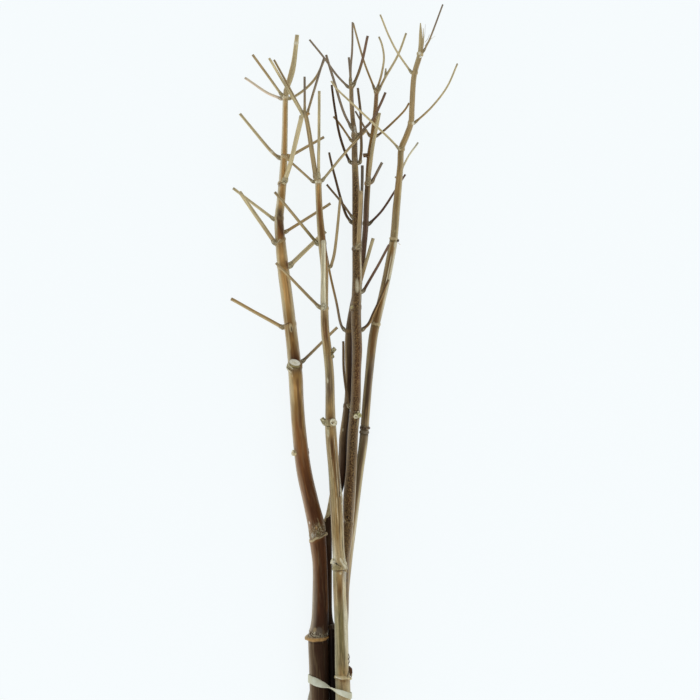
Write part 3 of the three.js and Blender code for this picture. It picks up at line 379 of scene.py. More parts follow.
MOTTLED = {
    "node": "stem_mottled",
    "slot": "mottled_bark",
    "rim_light": (colour(160, 149, 134), [(0, 0.3, 0.8), (440, 0.45, 0.7), (500, 0.25, 0.6)]),
    "line": [
        (-1.2, 12, 15.8, 5.1), (-0.8, 80, 16.1, 5), (-1, 140, 16.3, 4.6), (0.2, 170, 16.5, 4.6),
        (1, 220, 16.8, 4.7), (3.3, 240, 17, 4.9), (4.5, 256, 17.3, 5), (5.3, 280, 17.7, 6.1),
        (7.3, 310, 18.4, 5.5), (9, 348, 19.2, 5.2), (11.4, 372, 20, 5.2), (12.5, 410, 20.6, 4.7),
        (13.2, 430, 21, 5), (12, 465, 21.6, 5.1), (13.2, 500, 22.2, 5), (12.9, 532, 22.8, 4.7),
        (12.3, 580, 23.4, 4.1), (11.4, 605, 23.7, 3.3), (10.6, 625, 23.9, 3), (10.5, 647, 24.1, 2.7),
        (8.8, 660, 24.2, 2.3), (7.5, 680, 24.4, 2.2), (7.3, 695, 24.5, 2.1),
    ],
    "tones": [
        (0, BARK, DRAB, SLATE), (251, BARK, BARK, TAUPE), (258, BARK, SOOT, TAUPE),
        (280, DRAB, UMBER, TAUPE), (330, TAUPE, SOOT, DRAB), (358, TAUPE, UMBER, DRAB),
        (400, TAUPE, CHESTNUT, MAUVE), (440, TAUPE, UMBER, MAUVE), (466, TAUPE, UMBER, TAUPE),
        (484, TAUPE, UMBER, TAUPE), (500, DRAB, UMBER, TAN), (530, DRAB, BARK, TAUPE),
        (560, DRAB, UMBER, TAN), (580, DRAB, UMBER, TAN), (602, DRAB, BARK, TAUPE),
        (613, TAUPE, KHAKI, TAN), (626, TAUPE, DRAB, TAUPE), (644, TAUPE, TAUPE, ASH),
        (656, TAUPE, DRAB, TAUPE), (676, TAN, TAUPE, TAUPE), (695, TAN, KHAKI, TAUPE),
    ],
    "streaks": [
        (0.1, 0.14, 485, 502, ASH, 0.75), (0.8, 0.1, 480, 530, CREAM, 0.6),
        (0.55, 0.08, 500, 528, UMBER, 0.6), (-0.75, 0.12, 262, 520, SLATE, 0.35),
        (-0.1, 0.3, 262, 470, UMBER, 0.35), (0.1, 0.2, 385, 470, RUSSET, 0.4),
        (-0.1, 0.3, 270, 330, CHESTNUT, 0.5),
    ],
    "joints": [
        joint(256, 0.4, half=2, ledge=DRAB, below=(UMBER, 3, 0.5), strength=0.7),
        joint(365, 0.4, ledge=SLATE, crust=(SLATE, 4, 0.4), strength=0.4),
        joint(472, 0.35, tilt=(-1, LEFT_SIDE), push=(0.6, LEFT_SIDE), ledge=DRAB, strength=0.3),
        joint(531.5, 0.5, half=2.2, ledge=SLATE, crust=(ASH, 3, 0.5), below=(SOOT, 3, 0.5), rough=2),
        joint(617, 0.6, half=2.4, ledge=TAUPE, crust=(TAUPE, 5, 0.6), rough=2, strength=0.7),
        joint(645, 0.7, half=3.4, ledge=TAN, crust=(ASH, 5, 0.6), rough=2.4, strength=0.6),
        joint(693, 0.5, half=2.2, ledge=TAN, rough=2, strength=0.7),
    ],
    "marks": [
        line((262, -0.9), (257.5, -0.5), 0.5, CREAM, 0.8, 0.3),
        line((257.5, -0.5), (257.5, 0.2), 0.5, TAN, 0.5), mark(376, 0.8, 1.2, 1, CREAM, 0.6),
        line((369, 0.75), (380, 0.85), 0.6, CHALK, 0.85, 0.5), mark(358, 0.72, 3.8, 1.6, SAGE, 0.6),
        mark(366, 0.3, 1.8, 1.6, INK, 0.9, -0.5), line((366.5, -0.4), (366, 0.3), 0.8, INK, 0.6, -0.2),
        mark(381, 0.5, 1, 0.8, INK, 0.7, -0.2), mark(494, 0.05, 7, 2.6, CREAM, 0.75),
        line((300, 0.93), (226, 0.93), 0.7, CREAM, 0.6),
        line((371, -0.9), (377.5, -1), 0.7, CREAM, 0.7, 0.3), mark(473, -0.75, 2.4, 2, LICHEN, 0.8, 0.8),
        line((469.6, -0.9), (470, 0.2), 0.5, INK, 0.7, -0.3),
        line((487, 0.72), (530, 0.66), 0.7, CREAM, 0.6, 0.2), mark(482, 0.9, 4, 1.6, ASH, 0.6),
        mark(532, 0.1, 1.4, 2.8, ASH, 0.6, 0.3), line((529.4, -0.6), (529.4, 0.7), 0.5, INK, 0.7, -0.2),
        mark(641.5, 0.55, 3.2, 2, SAGE, 0.7, 0.5), mark(650, 0.45, 4.5, 1.4, CHALK, 0.7, 0.2),
        mark(694, 0.5, 1.4, 1, CREAM, 0.7, 0.3),
    ],
    "twigs": [
        twig((2.8, 2.4), DRAB, (10, 371, 20.5), (4.4, 375, 19.5), (-0.2, 410, 18), (-0.8, 438.8, 18)),
        twig((3.2, 2.4), BARK, (14, 449, 21), (19.2, 451, 21.5), (24.4, 456, 22.3), (30.2, 468.4, 23.5),
             (37.2, 483.4, 25), (44.4, 500.4, 27), streak=(0.85, OCHRE)),
        twig((3, 2.6), (PLUM, MAUVE), (14.5, 487, 22), (19.8, 489.8, 22.5), (32.3, 511.4, 25),
             (45.2, 535.2, 27.5)),
        twig((3.9, 3.6), TAN, (13.2, 531, 24), (14.1, 534.5, 27.8), (17, 588, 46)),
        twig((3.2, 3), (PLUM, SLATE), (14, 528, 21.5), (15.4, 532, 19), (18.1, 593.5, 17),
             (18.3, 614.7, 16)),
        twig((2.8, 2.2), BARK, (10, 556, 23.3), (6.2, 559, 23.3), (2.7, 564, 23.5), (-2, 577, 24),
             (-8, 598, 25.5), (-14.9, 627.3, 27.5)),
        twig((2.4, 2.1), DRAB, (10, 561, 24.8), (7, 564.4, 25.6), (-1, 575.4, 27.5), (-17.2, 595.2, 30)),
        twig((2.8, 2.2), UMBER, (10, 616, 23.9), (5.5, 618.6, 24.3), (0.4, 629.5, 25.5), (-4.7, 646, 27),
             (-9, 670, 29), (-12.3, 694.5, 30.5)),
        twig((3, 2.5), DRAB, (11.6, 616, 24.2), (16.2, 618.4, 25.5), (17.3, 631.7, 29.5), (16.8, 651, 33.5),
             (16.3, 668.4, 34.5), (13.8, 691.3, 35.5)),
        twig((2.7, 2.4), TAUPE, (10.5, 648, 24.2), (6.9, 653, 24.8), (0.8, 664.8, 26.3), (-4.4, 679.6, 28),
             (-9.6, 697.1, 29.5), (-17.8, 724.5, 31.3)),
        twig((2.3, 2), (TAN, HONEY), (10.5, 637, 23.8), (6.6, 640, 23.6), (-4.5, 656, 23),
             (-10.5, 663.4, 22.5)),
        twig((2.8, 2.5), (TAUPE, MAUVE), (11, 643.5, 24), (14, 643.8, 24), (19.1, 649.9, 24.5),
             (28.2, 659.8, 25.5), (36.8, 676.3, 27), (41.5, 687.2, 27.5)),
        twig((2.3, 2), TAUPE, (6.8, 692, 24.5), (3.4, 693.4, 24.3), (-6.8, 704.1, 23.5),
             (-20.2, 722.6, 23.8), (-34.5, 740.1, 24)),
        twig((2.4, 1.9), TAUPE, (7, 692, 24.5), (6.5, 697.1, 24.7), (6.8, 711.7, 25), (8, 727.7, 25.5),
             (8.5, 757.5, 26)),
        twig((2.5, 2.3), (TAN, TAUPE), (7, 692, 24.8), (6.5, 697, 26), (6.3, 705.4, 28.3),
             (4.8, 721.9, 32.5)),
        twig((3, 2.6), (KHAKI, MAUVE), (7.4, 692, 24.6), (9.8, 695.4, 25), (14.2, 706.2, 26),
             (18.9, 721, 27.5), (23.7, 743.6, 29)),
    ],
    "stubs": [
        stub((5.2, 4.4), (12.4, 364.6, 23), (11.8, 363.4, 26.2), rim=LICHEN, face=CREAM, heart=MOSS,
             ragged=3),
        stub((5, 4.2), (14.4, 364.4, 23), (15.7, 364.9, 25.8), rim=LICHEN, face=LICHEN, heart=MOSS,
             ragged=3),
        stub((2.6, 2), (14, 366.6, 23.6), (14.4, 368.2, 25.6), rim=SAGE, face=CREAM, ragged=2.6),
        stub((4, 3), (9.5, 472, 21.8), (6.4, 473, 22.4), rim=LICHEN, face=SAGE, ragged=2),
        stub((3.4, 2.4), (10, 694, 24.4), (8.6, 695.4, 26.2), rim=CREAM, face=TAN, ragged=2),
    ],
    "strands": [],
}

DARK = {
    "node": "stem_dark",
    "slot": "dark_bark",
    "rim_light": (colour(130, 114, 98), [(0, 0.1, 0), (300, 0.5, 0.1), (460, 0.5, 0.4), (520, 0.3, 0.5),
                                    (640, 0.5, 0.5)]),
    "line": [
        (-9.8, 6, 5.8, 4.3), (-10.4, 58, 6, 4.3), (-11, 92, 6.1, 4.4), (-11.9, 122, 5.7, 4.6),
        (-12, 143, 5.4, 4.4), (-12.2, 150, 4.8, 4.1), (-14.3, 158, 4.1, 3.5), (-15.3, 168, 4.2, 3.4),
        (-15.5, 182, 4.8, 3.4), (-15.6, 205, 5.3, 3.5), (-15.8, 235, 5.8, 3.6), (-16.2, 254, 6.2, 3.6),
        (-15.8, 260, 6.3, 4), (-13.2, 268, 6.5, 3.4), (-8.4, 280, 6.8, 3.5), (-4.4, 292, 7.1, 3.9),
        (-2, 304, 7.4, 4.3), (-1.3, 318, 7.7, 4.4), (-0.8, 340, 8.1, 4.2), (0.1, 350, 8.3, 3.9),
        (1.6, 362, 8.5, 3.6), (3.8, 382, 8.9, 3.3), (4.7, 400, 9.2, 3.3), (4.6, 414, 9.5, 3.5),
        (4.5, 430, 9.7, 3.7), (5, 450, 10.1, 3.4), (8, 471, 10.4, 3), (12, 490, 10.7, 2.9),
        (17.6, 515, 11.1, 2.8), (20.5, 540, 11.5, 2.8), (21.8, 557, 11.9, 2.9), (22.5, 575, 12.3, 2.9),
        (23.8, 596, 13.1, 2.8), (25.4, 625, 13.9, 2.4), (28.6, 645, 14.5, 2.4), (31.4, 670, 15.6, 2.2),
        (32.7, 690, 16.5, 2.1),
    ],
    # Nearly black near the foot and down the right side, where this stem lies between its neighbours:
    # painted shade over its own dark bark
    "tones": [
        (0, SOOT, INK, INK), (140, SOOT, INK, INK), (152, UMBER, SOOT, INK), (170, BARK, BARK, BARK),
        (206, UMBER, UMBER, DRAB), (225, UMBER, UMBER, BARK), (240, DRAB, BARK, UMBER),
        (262, DRAB, UMBER, UMBER), (296, UMBER, UMBER, INK), (330, TAUPE, BARK, INK),
        (350, TAN, DRAB, SOOT), (374, TAUPE, DRAB, SOOT), (400, TAN, UMBER, SOOT), (440, TAN, DRAB, UMBER),
        (455, TAUPE, DRAB, BARK), (488, TAUPE, TAUPE, TAUPE), (502, MAUVE, DRAB, COPPER),
        (524, TAUPE, MAUVE, DRAB), (545, TAUPE, MAUVE, MAUVE), (560, TAUPE, MAUVE, TAUPE),
        (590, DRAB, DRAB, TAN), (600, TAN, GOLD, TAN), (625, DRAB, GOLD, TAN), (645, HONEY, GOLD, TAN),
        (690, TAN, ROSE, TAN),
    ],
    "streaks": [(0.2, 0.2, 600, 640, CHESTNUT, 0.5)],
    "joints": [
        joint(152, 0.6, ledge=BARK, crust=(SLATE, 4, 0.5), rough=1.6),
        joint(374, 0.5, ledge=DRAB, strength=0.6),
        joint(449, 0.5, half=2.4, ledge=HONEY, strength=0.5, rough=1.6),
        joint(557, 0.5, ledge=DRAB, strength=0.6),
        joint(597, 0.7, half=2.4, ledge=OCHRE, below=(PLUM, 3, 0.5), rough=1.6),
        joint(645, 0.5, half=2, ledge=HONEY, strength=0.6, rough=1.6),
        joint(688, 0.5, half=2, ledge=TAN, rough=1.6),
    ],
    "marks": [
        mark(152, 0.5, 3, 1.6, SLATE, 0.5, 0.3), mark(286.5, -0.6, 2.4, 1.6, UMBER, 0.7, 0.4),
        mark(350, -0.3, 1.6, 0.7, CREAM, 0.5),
    ],
    "twigs": [
        twig((2.8, 2), (TAUPE, HONEY), (4, 449, 10.3), (0, 450.6, 11), (-2.6, 454.4, 11.6), (-8.1, 480, 14),
             (-14.5, 509, 17), (-20.2, 541, 20)),
        twig((3.6, 3.4), (GOLD, STRAW), (12, 491.5, 11), (16, 496.5, 13.2), (22.6, 519, 15.5),
             (29.2, 541.7, 18)),
        twig((2.6, 2), (PLUM, MAUVE), (22.4, 555, 12), (25.6, 556.6, 12), (37.8, 569.4, 12.5),
             (50.9, 589.2, 13), (61.5, 605.8, 13.5)),
        twig((3, 2.8), (ROSE, TAUPE), (25.2, 597, 13.2), (28.5, 599.2, 13.5), (38.1, 617.7, 15)),
        twig((3.6, 3.5), (TAN, STRAW), (23.9, 595.5, 14), (24.5, 600, 16.6), (29.6, 638, 23),
             (35.3, 666.8, 26.5)),
        twig((2.4, 2), (DRAB, HONEY), (28.6, 643.5, 14.6), (33.4, 644.7, 14.8), (39.2, 649, 15.3),
             (60.4, 669.4, 17.5), (65.2, 677.1, 18.3)),
        twig((2.2, 1.8), (HONEY, TAUPE), (28.2, 643.5, 14.5), (25.5, 644.6, 14.6), (20, 653.6, 15.5),
             (11.3, 669, 17)),
        twig((2.2, 1.8), (HONEY, TAN), (32.4, 687, 16.5), (30.4, 691.6, 16.7), (20, 718.6, 18),
             (9.2, 757, 19)),
        twig((2.3, 1.9), (HONEY, STRAW), (32.8, 687, 16.6), (33.6, 692.4, 17.2), (37.4, 705.4, 18.5),
             (39.9, 722, 19.5), (38, 735.2, 20), (34.8, 743.3, 20.3)),
        twig((2.5, 2.1), (TAN, STRAW), (33, 687, 16.5), (35, 690.6, 16.8), (41.8, 703.5, 17.5),
             (53.5, 724.2, 18.3), (62.2, 747, 19)),
        twig((1.8, 1.6), STRAW, (41.2, 702.8, 17.4), (41.6, 705.4, 18.2), (41.8, 711.5, 20)),
    ],
    "stubs": [
        stub((4, 4.4, 3.6), (25, 624, 14), (21, 625, 15), (19.2, 624.6, 15.2), rim=RUSSET, face=TAN,
             ragged=2),
        stub((6.4, 5.6, 5), (-17.4, 258, 6.4), (-14.3, 270, 8), (-11.6, 287, 9.4), rim=STRAW, face=UMBER,
             ragged=0.6),
        stub((2.6, 1.8), (31.6, 688, 17.2), (30.4, 688.6, 18.8), rim=CREAM, face=TAN, ragged=2),
    ],
    "strands": [],
}

RIGHT = {
    "node": "stem_right",
    "slot": "olive_bark",
    "rim_light": (colour(176, 164, 146), [(0, 0.6, 0.7)]),
    "line": [
        (0.5, 10, 4, 4.5), (0, 60, 5.9, 4.4), (-0.1, 90, 6.1, 4.4), (-0.4, 130, 6.2, 4.3),
        (0.4, 180, 6.6, 4.2), (4.2, 220, 7, 4.2), (8, 250, 7.5, 4.2), (11.9, 280, 8.6, 4.1),
        (15.6, 310, 10, 4.2), (19.4, 338, 11.1, 4.4), (21.2, 360, 11.8, 4.2), (22.8, 380, 12.4, 4.2),
        (24.6, 400, 13, 4.1), (28.8, 440, 14.1, 4.5), (32.4, 459, 14.8, 4.4), (37.6, 480, 15.7, 4.1),
        (42.1, 500, 17, 4.2), (47.9, 530, 19.2, 4.2), (50.2, 545, 20.1, 3.9), (52.2, 570, 21.3, 3.8),
        (54.1, 590, 22.6, 3.5), (56.3, 615, 24.4, 3.1), (57.3, 631, 25.5, 3.1), (62.5, 644, 26.7, 3),
        (66.9, 657, 27.8, 2.9), (67.8, 672, 28.7, 2.8), (69.2, 697, 30, 2.7), (70.9, 708, 30.5, 2.7),
        (75.8, 725, 31.2, 2.7), (76.7, 733, 31.6, 2.5), (76.5, 745, 32, 1.7), (76.3, 756, 32.3, 0.6),
    ],
    "tones": [
        (0, TAUPE, TAUPE, SLATE), (200, TAUPE, HONEY, TAN), (250, TAUPE, HONEY, CREAM),
        (290, STRAW, DRAB, STRAW), (330, SAGE, DRAB, STRAW), (345, TAUPE, DRAB, TAUPE),
        (356, TAN, DRAB, TAN), (370, STRAW, BARK, TAN), (405, STRAW, BARK, TAUPE),
        (416, STRAW, DRAB, TAUPE), (430, STRAW, BRONZE, TAN), (446, TAN, BRONZE, TAN),
        (460, HONEY, BRONZE, TAN), (480, TAN, GOLD, CREAM), (500, TAN, KHAKI, CREAM),
        (530, STRAW, GOLD, CREAM), (546, TAN, KHAKI, STRAW), (560, TAN, KHAKI, TAN),
        (590, HONEY, HONEY, STRAW), (628, HONEY, KHAKI, TAN), (640, TAN, HONEY, TAN),
        (680, HONEY, TAN, TAN), (704, HONEY, TAN, TAN), (722, STRAW, TAN, HONEY),
        (756, STRAW, STRAW, STRAW),
    ],
    "streaks": [
        (0.1, 0.06, 355, 378, OCHRE, 0.7), (-0.2, 0.16, 462, 528, CHESTNUT, 0.6),
        (0.12, 0.12, 478, 532, CREAM, 0.8), (0.05, 0.14, 545, 625, COPPER, 0.4),
        (0.2, 0.14, 600, 655, STRAW, 0.3), (0.35, 0.14, 660, 705, HONEY, 0.5),
    ],
    "joints": [
        joint(348, 0.6, half=1.8, ledge=SLATE, below=(INK, 3, 0.7), rough=1.8),
        joint(352.2, 0.6, half=1.9, push=(0.8, RIGHT_SIDE), ledge=UMBER, crust=(SOOT, 3, 0.6), rough=1.8),
        joint(456.5, 0.6, half=2, ledge=STRAW, below=(MOSS, 3, 0.5), rough=1.4, strength=0.8),
        joint(541.5, 0.5, half=1.6, ledge=STRAW, below=(MOSS, 3, 0.4), rough=1.6, strength=0.8),
        joint(631, 0.5, half=2.2, ledge=TAN, strength=0.6),
        joint(657, 0.4, half=2.2, ledge=STRAW, strength=0.6),
        joint(707, 0.4, half=2.2, ledge=TAN, strength=0.7),
        joint(725.5, 0.7, half=2.2, ledge=STRAW, rough=2),
    ],
    "marks": [
        line((350.2, -0.8), (350, 0.9), 0.5, INK, 0.85, -0.2),
        line((538.8, -1), (538.6, -0.1), 0.7, UMBER, 0.5, -0.2), mark(536, 0.5, 3, 1.4, CREAM, 0.6),
        mark(549, 0.1, 1.6, 0.6, LICHEN, 0.6), line((629, -0.9), (629, 0.8), 0.5, GOLD, 0.8, -0.2),
        mark(657, 0.7, 1.8, 1.6, CHALK, 0.7, 0.5), mark(726, -0.2, 1.6, 1.4, CHALK, 0.8, 0.5),
        mark(722.6, 0.3, 1.4, 1.2, CHALK, 0.7, 0.4), line((728, 0.3), (742, 0.2), 0.5, OLIVE, 0.6, -0.3),
    ],
    "twigs": [
        twig((2.2, 1.8), (STRAW, CREAM), (55.8, 607, 22.5), (59.2, 613.9, 19), (65.1, 625, 15),
             (74.2, 637.8, 11)),
        twig((2.4, 1.9), STRAW, (56.8, 630, 27), (54.1, 631.6, 29), (47.5, 638.8, 31.5), (25.1, 659.8, 36),
             (6, 677.6, 39), (-8.3, 691.3, 40), (-12.7, 697.9, 40.5)),
        twig((2.2, 1.8), (HONEY, STRAW), (67.4, 655.5, 28), (70.8, 657, 28), (87.4, 672.4, 27),
             (103.3, 693.4, 25.5), (113.4, 716.2, 23)),
        twig((2.2, 1.7), STRAW, (70.4, 705.5, 30.5), (67.2, 706.8, 31), (53.6, 726.3, 34),
             (44.6, 743.3, 36), (36.1, 764.2, 37.5)),
        twig((1.9, 1.6), (TAN, TAUPE), (76.6, 725, 31.4), (80.5, 730, 31.8), (85.1, 739.2, 32.5),
             (98.6, 774.6, 35)),
        # A branch on the far side, whose tip carries this side of the bunch
        twig((3.4, 3), (HONEY, TAN), (50, 540, 18.5), (50.2, 543, 16), (52.5, 576, 0.6)),
    ],
    "stubs": [
        stub((3.2, 3.4, 2), (51, 539, 20.4), (53.4, 539.6, 21), (55, 539.2, 21.2), rim=UMBER, face=COPPER,
             heart=INK, ragged=2.4),
        stub((2.4, 1.6), (54.4, 601, 23.4), (51, 603, 23.8), rim=HONEY, face=TAN),
        stub((3, 2.2), (75.6, 722, 32.2), (77.4, 723.6, 33.8), rim=CHALK, face=CREAM, ragged=2),
    ],
    "strands": [
        strand((1.4, 1.2, 0.5), (77.6, 727, 32), (79.3, 739, 32.4), (79, 751, 32.6), dye=STRAW, flat=0.5),
        strand((0.5, 0.3), (79, 738, 32), (80.6, 745, 32.6), (81.2, 755, 33.2), dye=ASH),
        strand((0.6, 0.3), (80.5, 733, 32), (84.5, 738.4, 32.6), (91.2, 743.4, 33), dye=CHALK),
        strand((0.5, 0.3), (81.5, 735, 32), (85, 736.8, 32.6), (87.4, 741.4, 33), dye=CHALK),
        strand((0.5, 0.3), (81, 737, 32), (84, 741.4, 32.4), (85.2, 744.6, 32.6), dye=STRAW),
        strand((0.4, 0.3), (53.6, 537.6, 21.4), (55, 536.4, 21.6), (56.4, 535.2, 21.6), dye=OCHRE),
    ],
}

STEMS = [LEFT, FRONT, MOTTLED, DARK, RIGHT]

# The rubber band: its middle line and width at the bunch's left and right, and how far round it has turned
# over, in half turns, at places across the bunch
BAND_LEFT = {"side": -35.6, "along": 101.0, "width": 8.6}
BAND_RIGHT = {"side": 5.8, "along": 85.2, "width": 6.0}
BAND_TURN = [(-33, 0.0), (-27, 0.12), (-21, 0.30), (-15.5, 0.5), (-12, 0.67), (-6, 0.8), (6, 1.0)]
BAND_THICKNESS = 1.0
BAND_CLEARANCE = 0.65
BAND_EDGE_CLEARANCE = 0.1  # under its lower edge, where it turns over
BAND_STATIONS = 480
BAND_CORNERS = 20


def smooth(low, high, value):
    """0 below low, 1 above high, and a smooth rise between them"""
    share = np.clip((value - low) / (high - low), 0.0, 1.0)
    return share * share * (3 - 2 * share)


def bell(off, width):
    """1 at the middle, and next to nothing beyond twice the width"""
    return np.exp(-((off / width) ** 2))


def mixed(one, other, share):
    return one * (1 - share) + other * share


def blended(one, other, share):
    """One colour mixed with another by a share at each point"""
    return mixed(one, other, share[..., None])


def in_metres(places):
    """Places in millimetres, as (side, along, height), in the part's frame"""
    return (np.asarray(places, float) - (0, BUNCH_LENGTH / 2, 0)) / 1000


def unit(vectors):
    return vectors / np.linalg.norm(vectors, axis=-1, keepdims=True)


def run(points):
    """How far along its own length each point of a line is"""
    return np.concatenate([[0], np.cumsum(np.linalg.norm(np.diff(points, axis=0), axis=1))])


def resampled(points, distance, at):
    """A line's points at other distances along it"""
    return np.stack([np.interp(at, distance, column) for column in points.T], axis=1)


def angles(sides):
    return np.arange(sides) * (2 * math.pi / sides)


def apart(angle, other):
    """The signed angle from one direction to another, in radians, the short way round"""
    return (angle - other + math.pi) % (2 * math.pi) - math.pi


def turn_at(across):
    """The angle round a stem of a place across it, from -1 at its left edge to 1 at its right"""
    return math.acos(max(-1, min(1, across)))


def oval(angle, flat):
    """The share of its radius that a flattened bar has at each angle round it"""
    return flat / np.hypot(flat * np.cos(angle), np.sin(angle))


def thickness(thick, share):
    """Half the thickness at each share of the length, from thicknesses given at even spaces"""
    return np.interp(share, np.linspace(0, 1, len(thick)), np.array(thick) / 2)


def hermite(knots, values, slopes, at):
    """Smooth curve through the values at the knots, with those slopes"""
    first = np.clip(np.searchsorted(knots, at, side="right") - 1, 0, len(knots) - 2)
    span = knots[first + 1] - knots[first]
    t = ((at - knots[first]) / span)[:, None]
    span = span[:, None]
    return (
        (2 * t**3 - 3 * t**2 + 1) * values[first]
        + (t**3 - 2 * t**2 + t) * span * slopes[first]
        + (3 * t**2 - 2 * t**3) * values[first + 1]
        + (t**3 - t**2) * span * slopes[first + 1]
    )


def along_line(rows, at):
    """The columns of a line's rows (side, along, height, radius) at other distances along it"""
    rows = np.asarray(rows, float)
    knots = rows[:, 1]
    slopes = np.empty_like(rows)
    slopes[1:-1] = (rows[2:] - rows[:-2]) / (knots[2:] - knots[:-2])[:, None]
    slopes[0] = (rows[1] - rows[0]) / (knots[1] - knots[0])
    slopes[-1] = (rows[-1] - rows[-2]) / (knots[-1] - knots[-2])
    return hermite(knots, rows, slopes, at)


def bent_through(places, step):
    """Evenly spaced points on a curve through the places, and their distances along it. A twig's bend is in
    its root, so past its second place it starts out straight towards the third."""
    fine_steps = 60
    places = np.asarray(places, float)
    gaps = np.linalg.norm(np.diff(places, axis=0), axis=1)
    knots = np.concatenate([[0], np.cumsum(np.sqrt(gaps))])
    if len(places) == 2:
        slopes = np.repeat((places[1:] - places[:1]) / knots[1], 2, axis=0)
    else:
        slopes = np.gradient(places, knots, axis=0)
        slopes[1] = (places[2] - places[1]) / gaps[1] * gaps[0] / (knots[1] - knots[0])
    parts = []
    for i in range(len(places) - 1):
        inner = np.linspace(knots[i], knots[i + 1], fine_steps, endpoint=i == len(places) - 2)
        leaving = slopes[i].copy()
        if i == 1:
            leaving = (places[2] - places[1]) / (knots[2] - knots[1])
        pair = np.array([leaving, slopes[i + 1]])
        parts.append(hermite(knots[i : i + 2], places[i : i + 2], pair, inner))
    fine = np.concatenate(parts)
    distance = run(fine)
    count = max(3, int(round(distance[-1] / step)) + 1)
    even = np.linspace(0, distance[-1], count)
    return resampled(fine, distance, even), even


def frames(centres):
    """Directions ahead, across and up for a bent bar at each of its centres"""
    steep = 0.92  # how much of a bar's direction may be upwards before its "up" turns along the bunch
    ahead = unit(np.gradient(centres, axis=0))
    upright = np.abs(ahead[:, 2]).max() > steep
    up = np.array([0.0, 1.0, 0.0]) if upright else np.array([0.0, 0.0, 1.0])
    across = unit(np.cross(ahead, up))
    return ahead, across, np.cross(across, ahead)


class Waves:
    """Seeded smooth unevenness over a bar's surface, by distance along it and angle round it"""

    count = 7
    wander = 2.2  # radians that a wave drifts to and fro along the bar

    def __init__(self, seed):
        self.draw = np.random.default_rng(seed)

    def over(self, distance, angle, around, length):
        """Between about -1 and 1. `around` is the range of waves round it, `length` their mm along it"""
        total = 0.0
        for _ in range(self.count):
            turns = self.draw.integers(around[0], around[1] + 1)
            stretch = length * self.draw.uniform(0.6, 1.8)
            phase, shift = self.draw.uniform(0, 2 * math.pi, 2)
            total = total + np.cos(turns * angle + phase + np.sin(distance / stretch + shift) * self.wander)
        return total / math.sqrt(self.count * 2)

    def grain_start(self):
        """Where a bar's grain starts, in mm each way, so that no two bars show the same fibres"""
        return self.draw.uniform(-400, 400, 3)


class Skin:
    """Gathers bars into one mesh. For the bark material each point keeps `grain`, its place in the bar as
    if that were straight, `tone`, its base colour with any painted rim light and painted shade, `crust`,
    how flecked and pitted it is, and `specked`, how strongly the bark's specks show."""

    def __init__(self):
        self.points, self.grain, self.tones, self.crust, self.specked = [], [], [], [], []
        self.faces, self.caps, self.axes = [], [], []
        self.count = 0

    def outside(self, centres):
        """How far each centre lies outside the nearest bar made so far"""
        gaps = [
            np.linalg.norm(centres[:, None] - axis[None], axis=2) - radius[None]
            for axis, radius in self.axes
        ]
        return np.min(np.concatenate(gaps, axis=1), axis=1)

    def bar(self, centres, reach, tones, shift, ends=(None, None), crust=None, specked=0.3):
        """A bar round the centres. `reach` is its radius and `tones` its colour at each station and side.
        An end is a list of (share of the radius, distance outwards, colour) rings, from rim to heart."""
        ahead, across, up = frames(centres)
        sides = reach.shape[1]
        wide, tall = reach * np.cos(angles(sides)), reach * np.sin(angles(sides))
        ring = centres[:, None] + wide[..., None] * across[:, None] + tall[..., None] * up[:, None]
        distance = run(centres)
        grain = np.stack([wide, tall, np.repeat(distance[:, None], sides, axis=1)], axis=-1)
        crust = np.zeros(reach.shape) if crust is None else crust
        rows, grains, dyes, crusts = [ring], [grain], [tones], [crust]
        for end, at, way in ((ends[0], 0, -1), (ends[1], -1, 1)):
            if end is None:
                continue
            heart = np.array([0, 0, distance[at]])
            shape = np.stack([mixed(centres[at], ring[at], s) + way * out * ahead[at] for s, out, _ in end])
            inner = np.stack([mixed(heart, grain[at], s) for s, *_ in end])
            dyed = np.stack([np.repeat(dye[None], sides, axis=0) for *_, dye in end])
            if way < 0:
                shape, inner, dyed = shape[::-1], inner[::-1], dyed[::-1]
            bare = np.zeros(shape.shape[:2])
            for whole, extra in ((rows, shape), (grains, inner), (dyes, dyed), (crusts, bare)):
                whole.insert(0 if way < 0 else len(whole), extra)
        rows = np.concatenate(rows)
        total = len(rows)
        first = np.arange(sides) + self.count
        low = np.arange(total - 1)[:, None] * sides + first[None]
        side = np.arange(total - 1)[:, None] * sides + np.roll(first, -1)[None]
        self.faces.append(np.stack([low, side, side + sides, low + sides], axis=-1).reshape(-1, 4))
        self.caps.append(first[::-1].tolist())
        self.caps.append((first + (total - 1) * sides).tolist())
        self.points.append(rows.reshape(-1, 3))
        self.grain.append(np.concatenate(grains).reshape(-1, 3) + shift)
        self.tones.append(np.clip(np.concatenate(dyes).reshape(-1, 3), 0, 1))
        self.crust.append(np.concatenate(crusts).ravel())
        self.specked.append(np.full(total * sides, specked))
        self.count += total * sides
        self.axes.append((centres, reach.mean(axis=1)))

    def built(self, name):
        points = np.concatenate(self.points)
        points[:, 2] = np.maximum(points[:, 2], 0.0)
        made = mesh_object(name, points, np.concatenate(self.faces).tolist() + self.caps)
        dyed = np.concatenate(self.tones)
        for title, kind, field, values in (
            ("grain", "FLOAT_VECTOR", "vector", np.concatenate(self.grain)),
            ("tone", "FLOAT_COLOR", "color", np.concatenate([dyed, np.ones((len(dyed), 1))], axis=1)),
            ("crust", "FLOAT", "value", np.concatenate(self.crust)),
            ("specked", "FLOAT", "value", np.concatenate(self.specked)),
        ):
            attribute = made.data.attributes.new(title, kind, "POINT")
            attribute.data.foreach_set(field, values.astype(np.float32).ravel())
        return made


def linked(name, data):
    """A new object in the scene, from its mesh, lamp or lens"""
    made = bpy.data.objects.new(name, data)
    bpy.context.collection.objects.link(made)
    return made


def mesh_object(name, points, faces):
    """A smooth mesh from points in millimetres"""
    mesh = bpy.data.meshes.new(name)
    mesh.from_pydata(in_metres(points).tolist(), [], faces)
    mesh.shade_smooth()
    return linked(name, mesh)


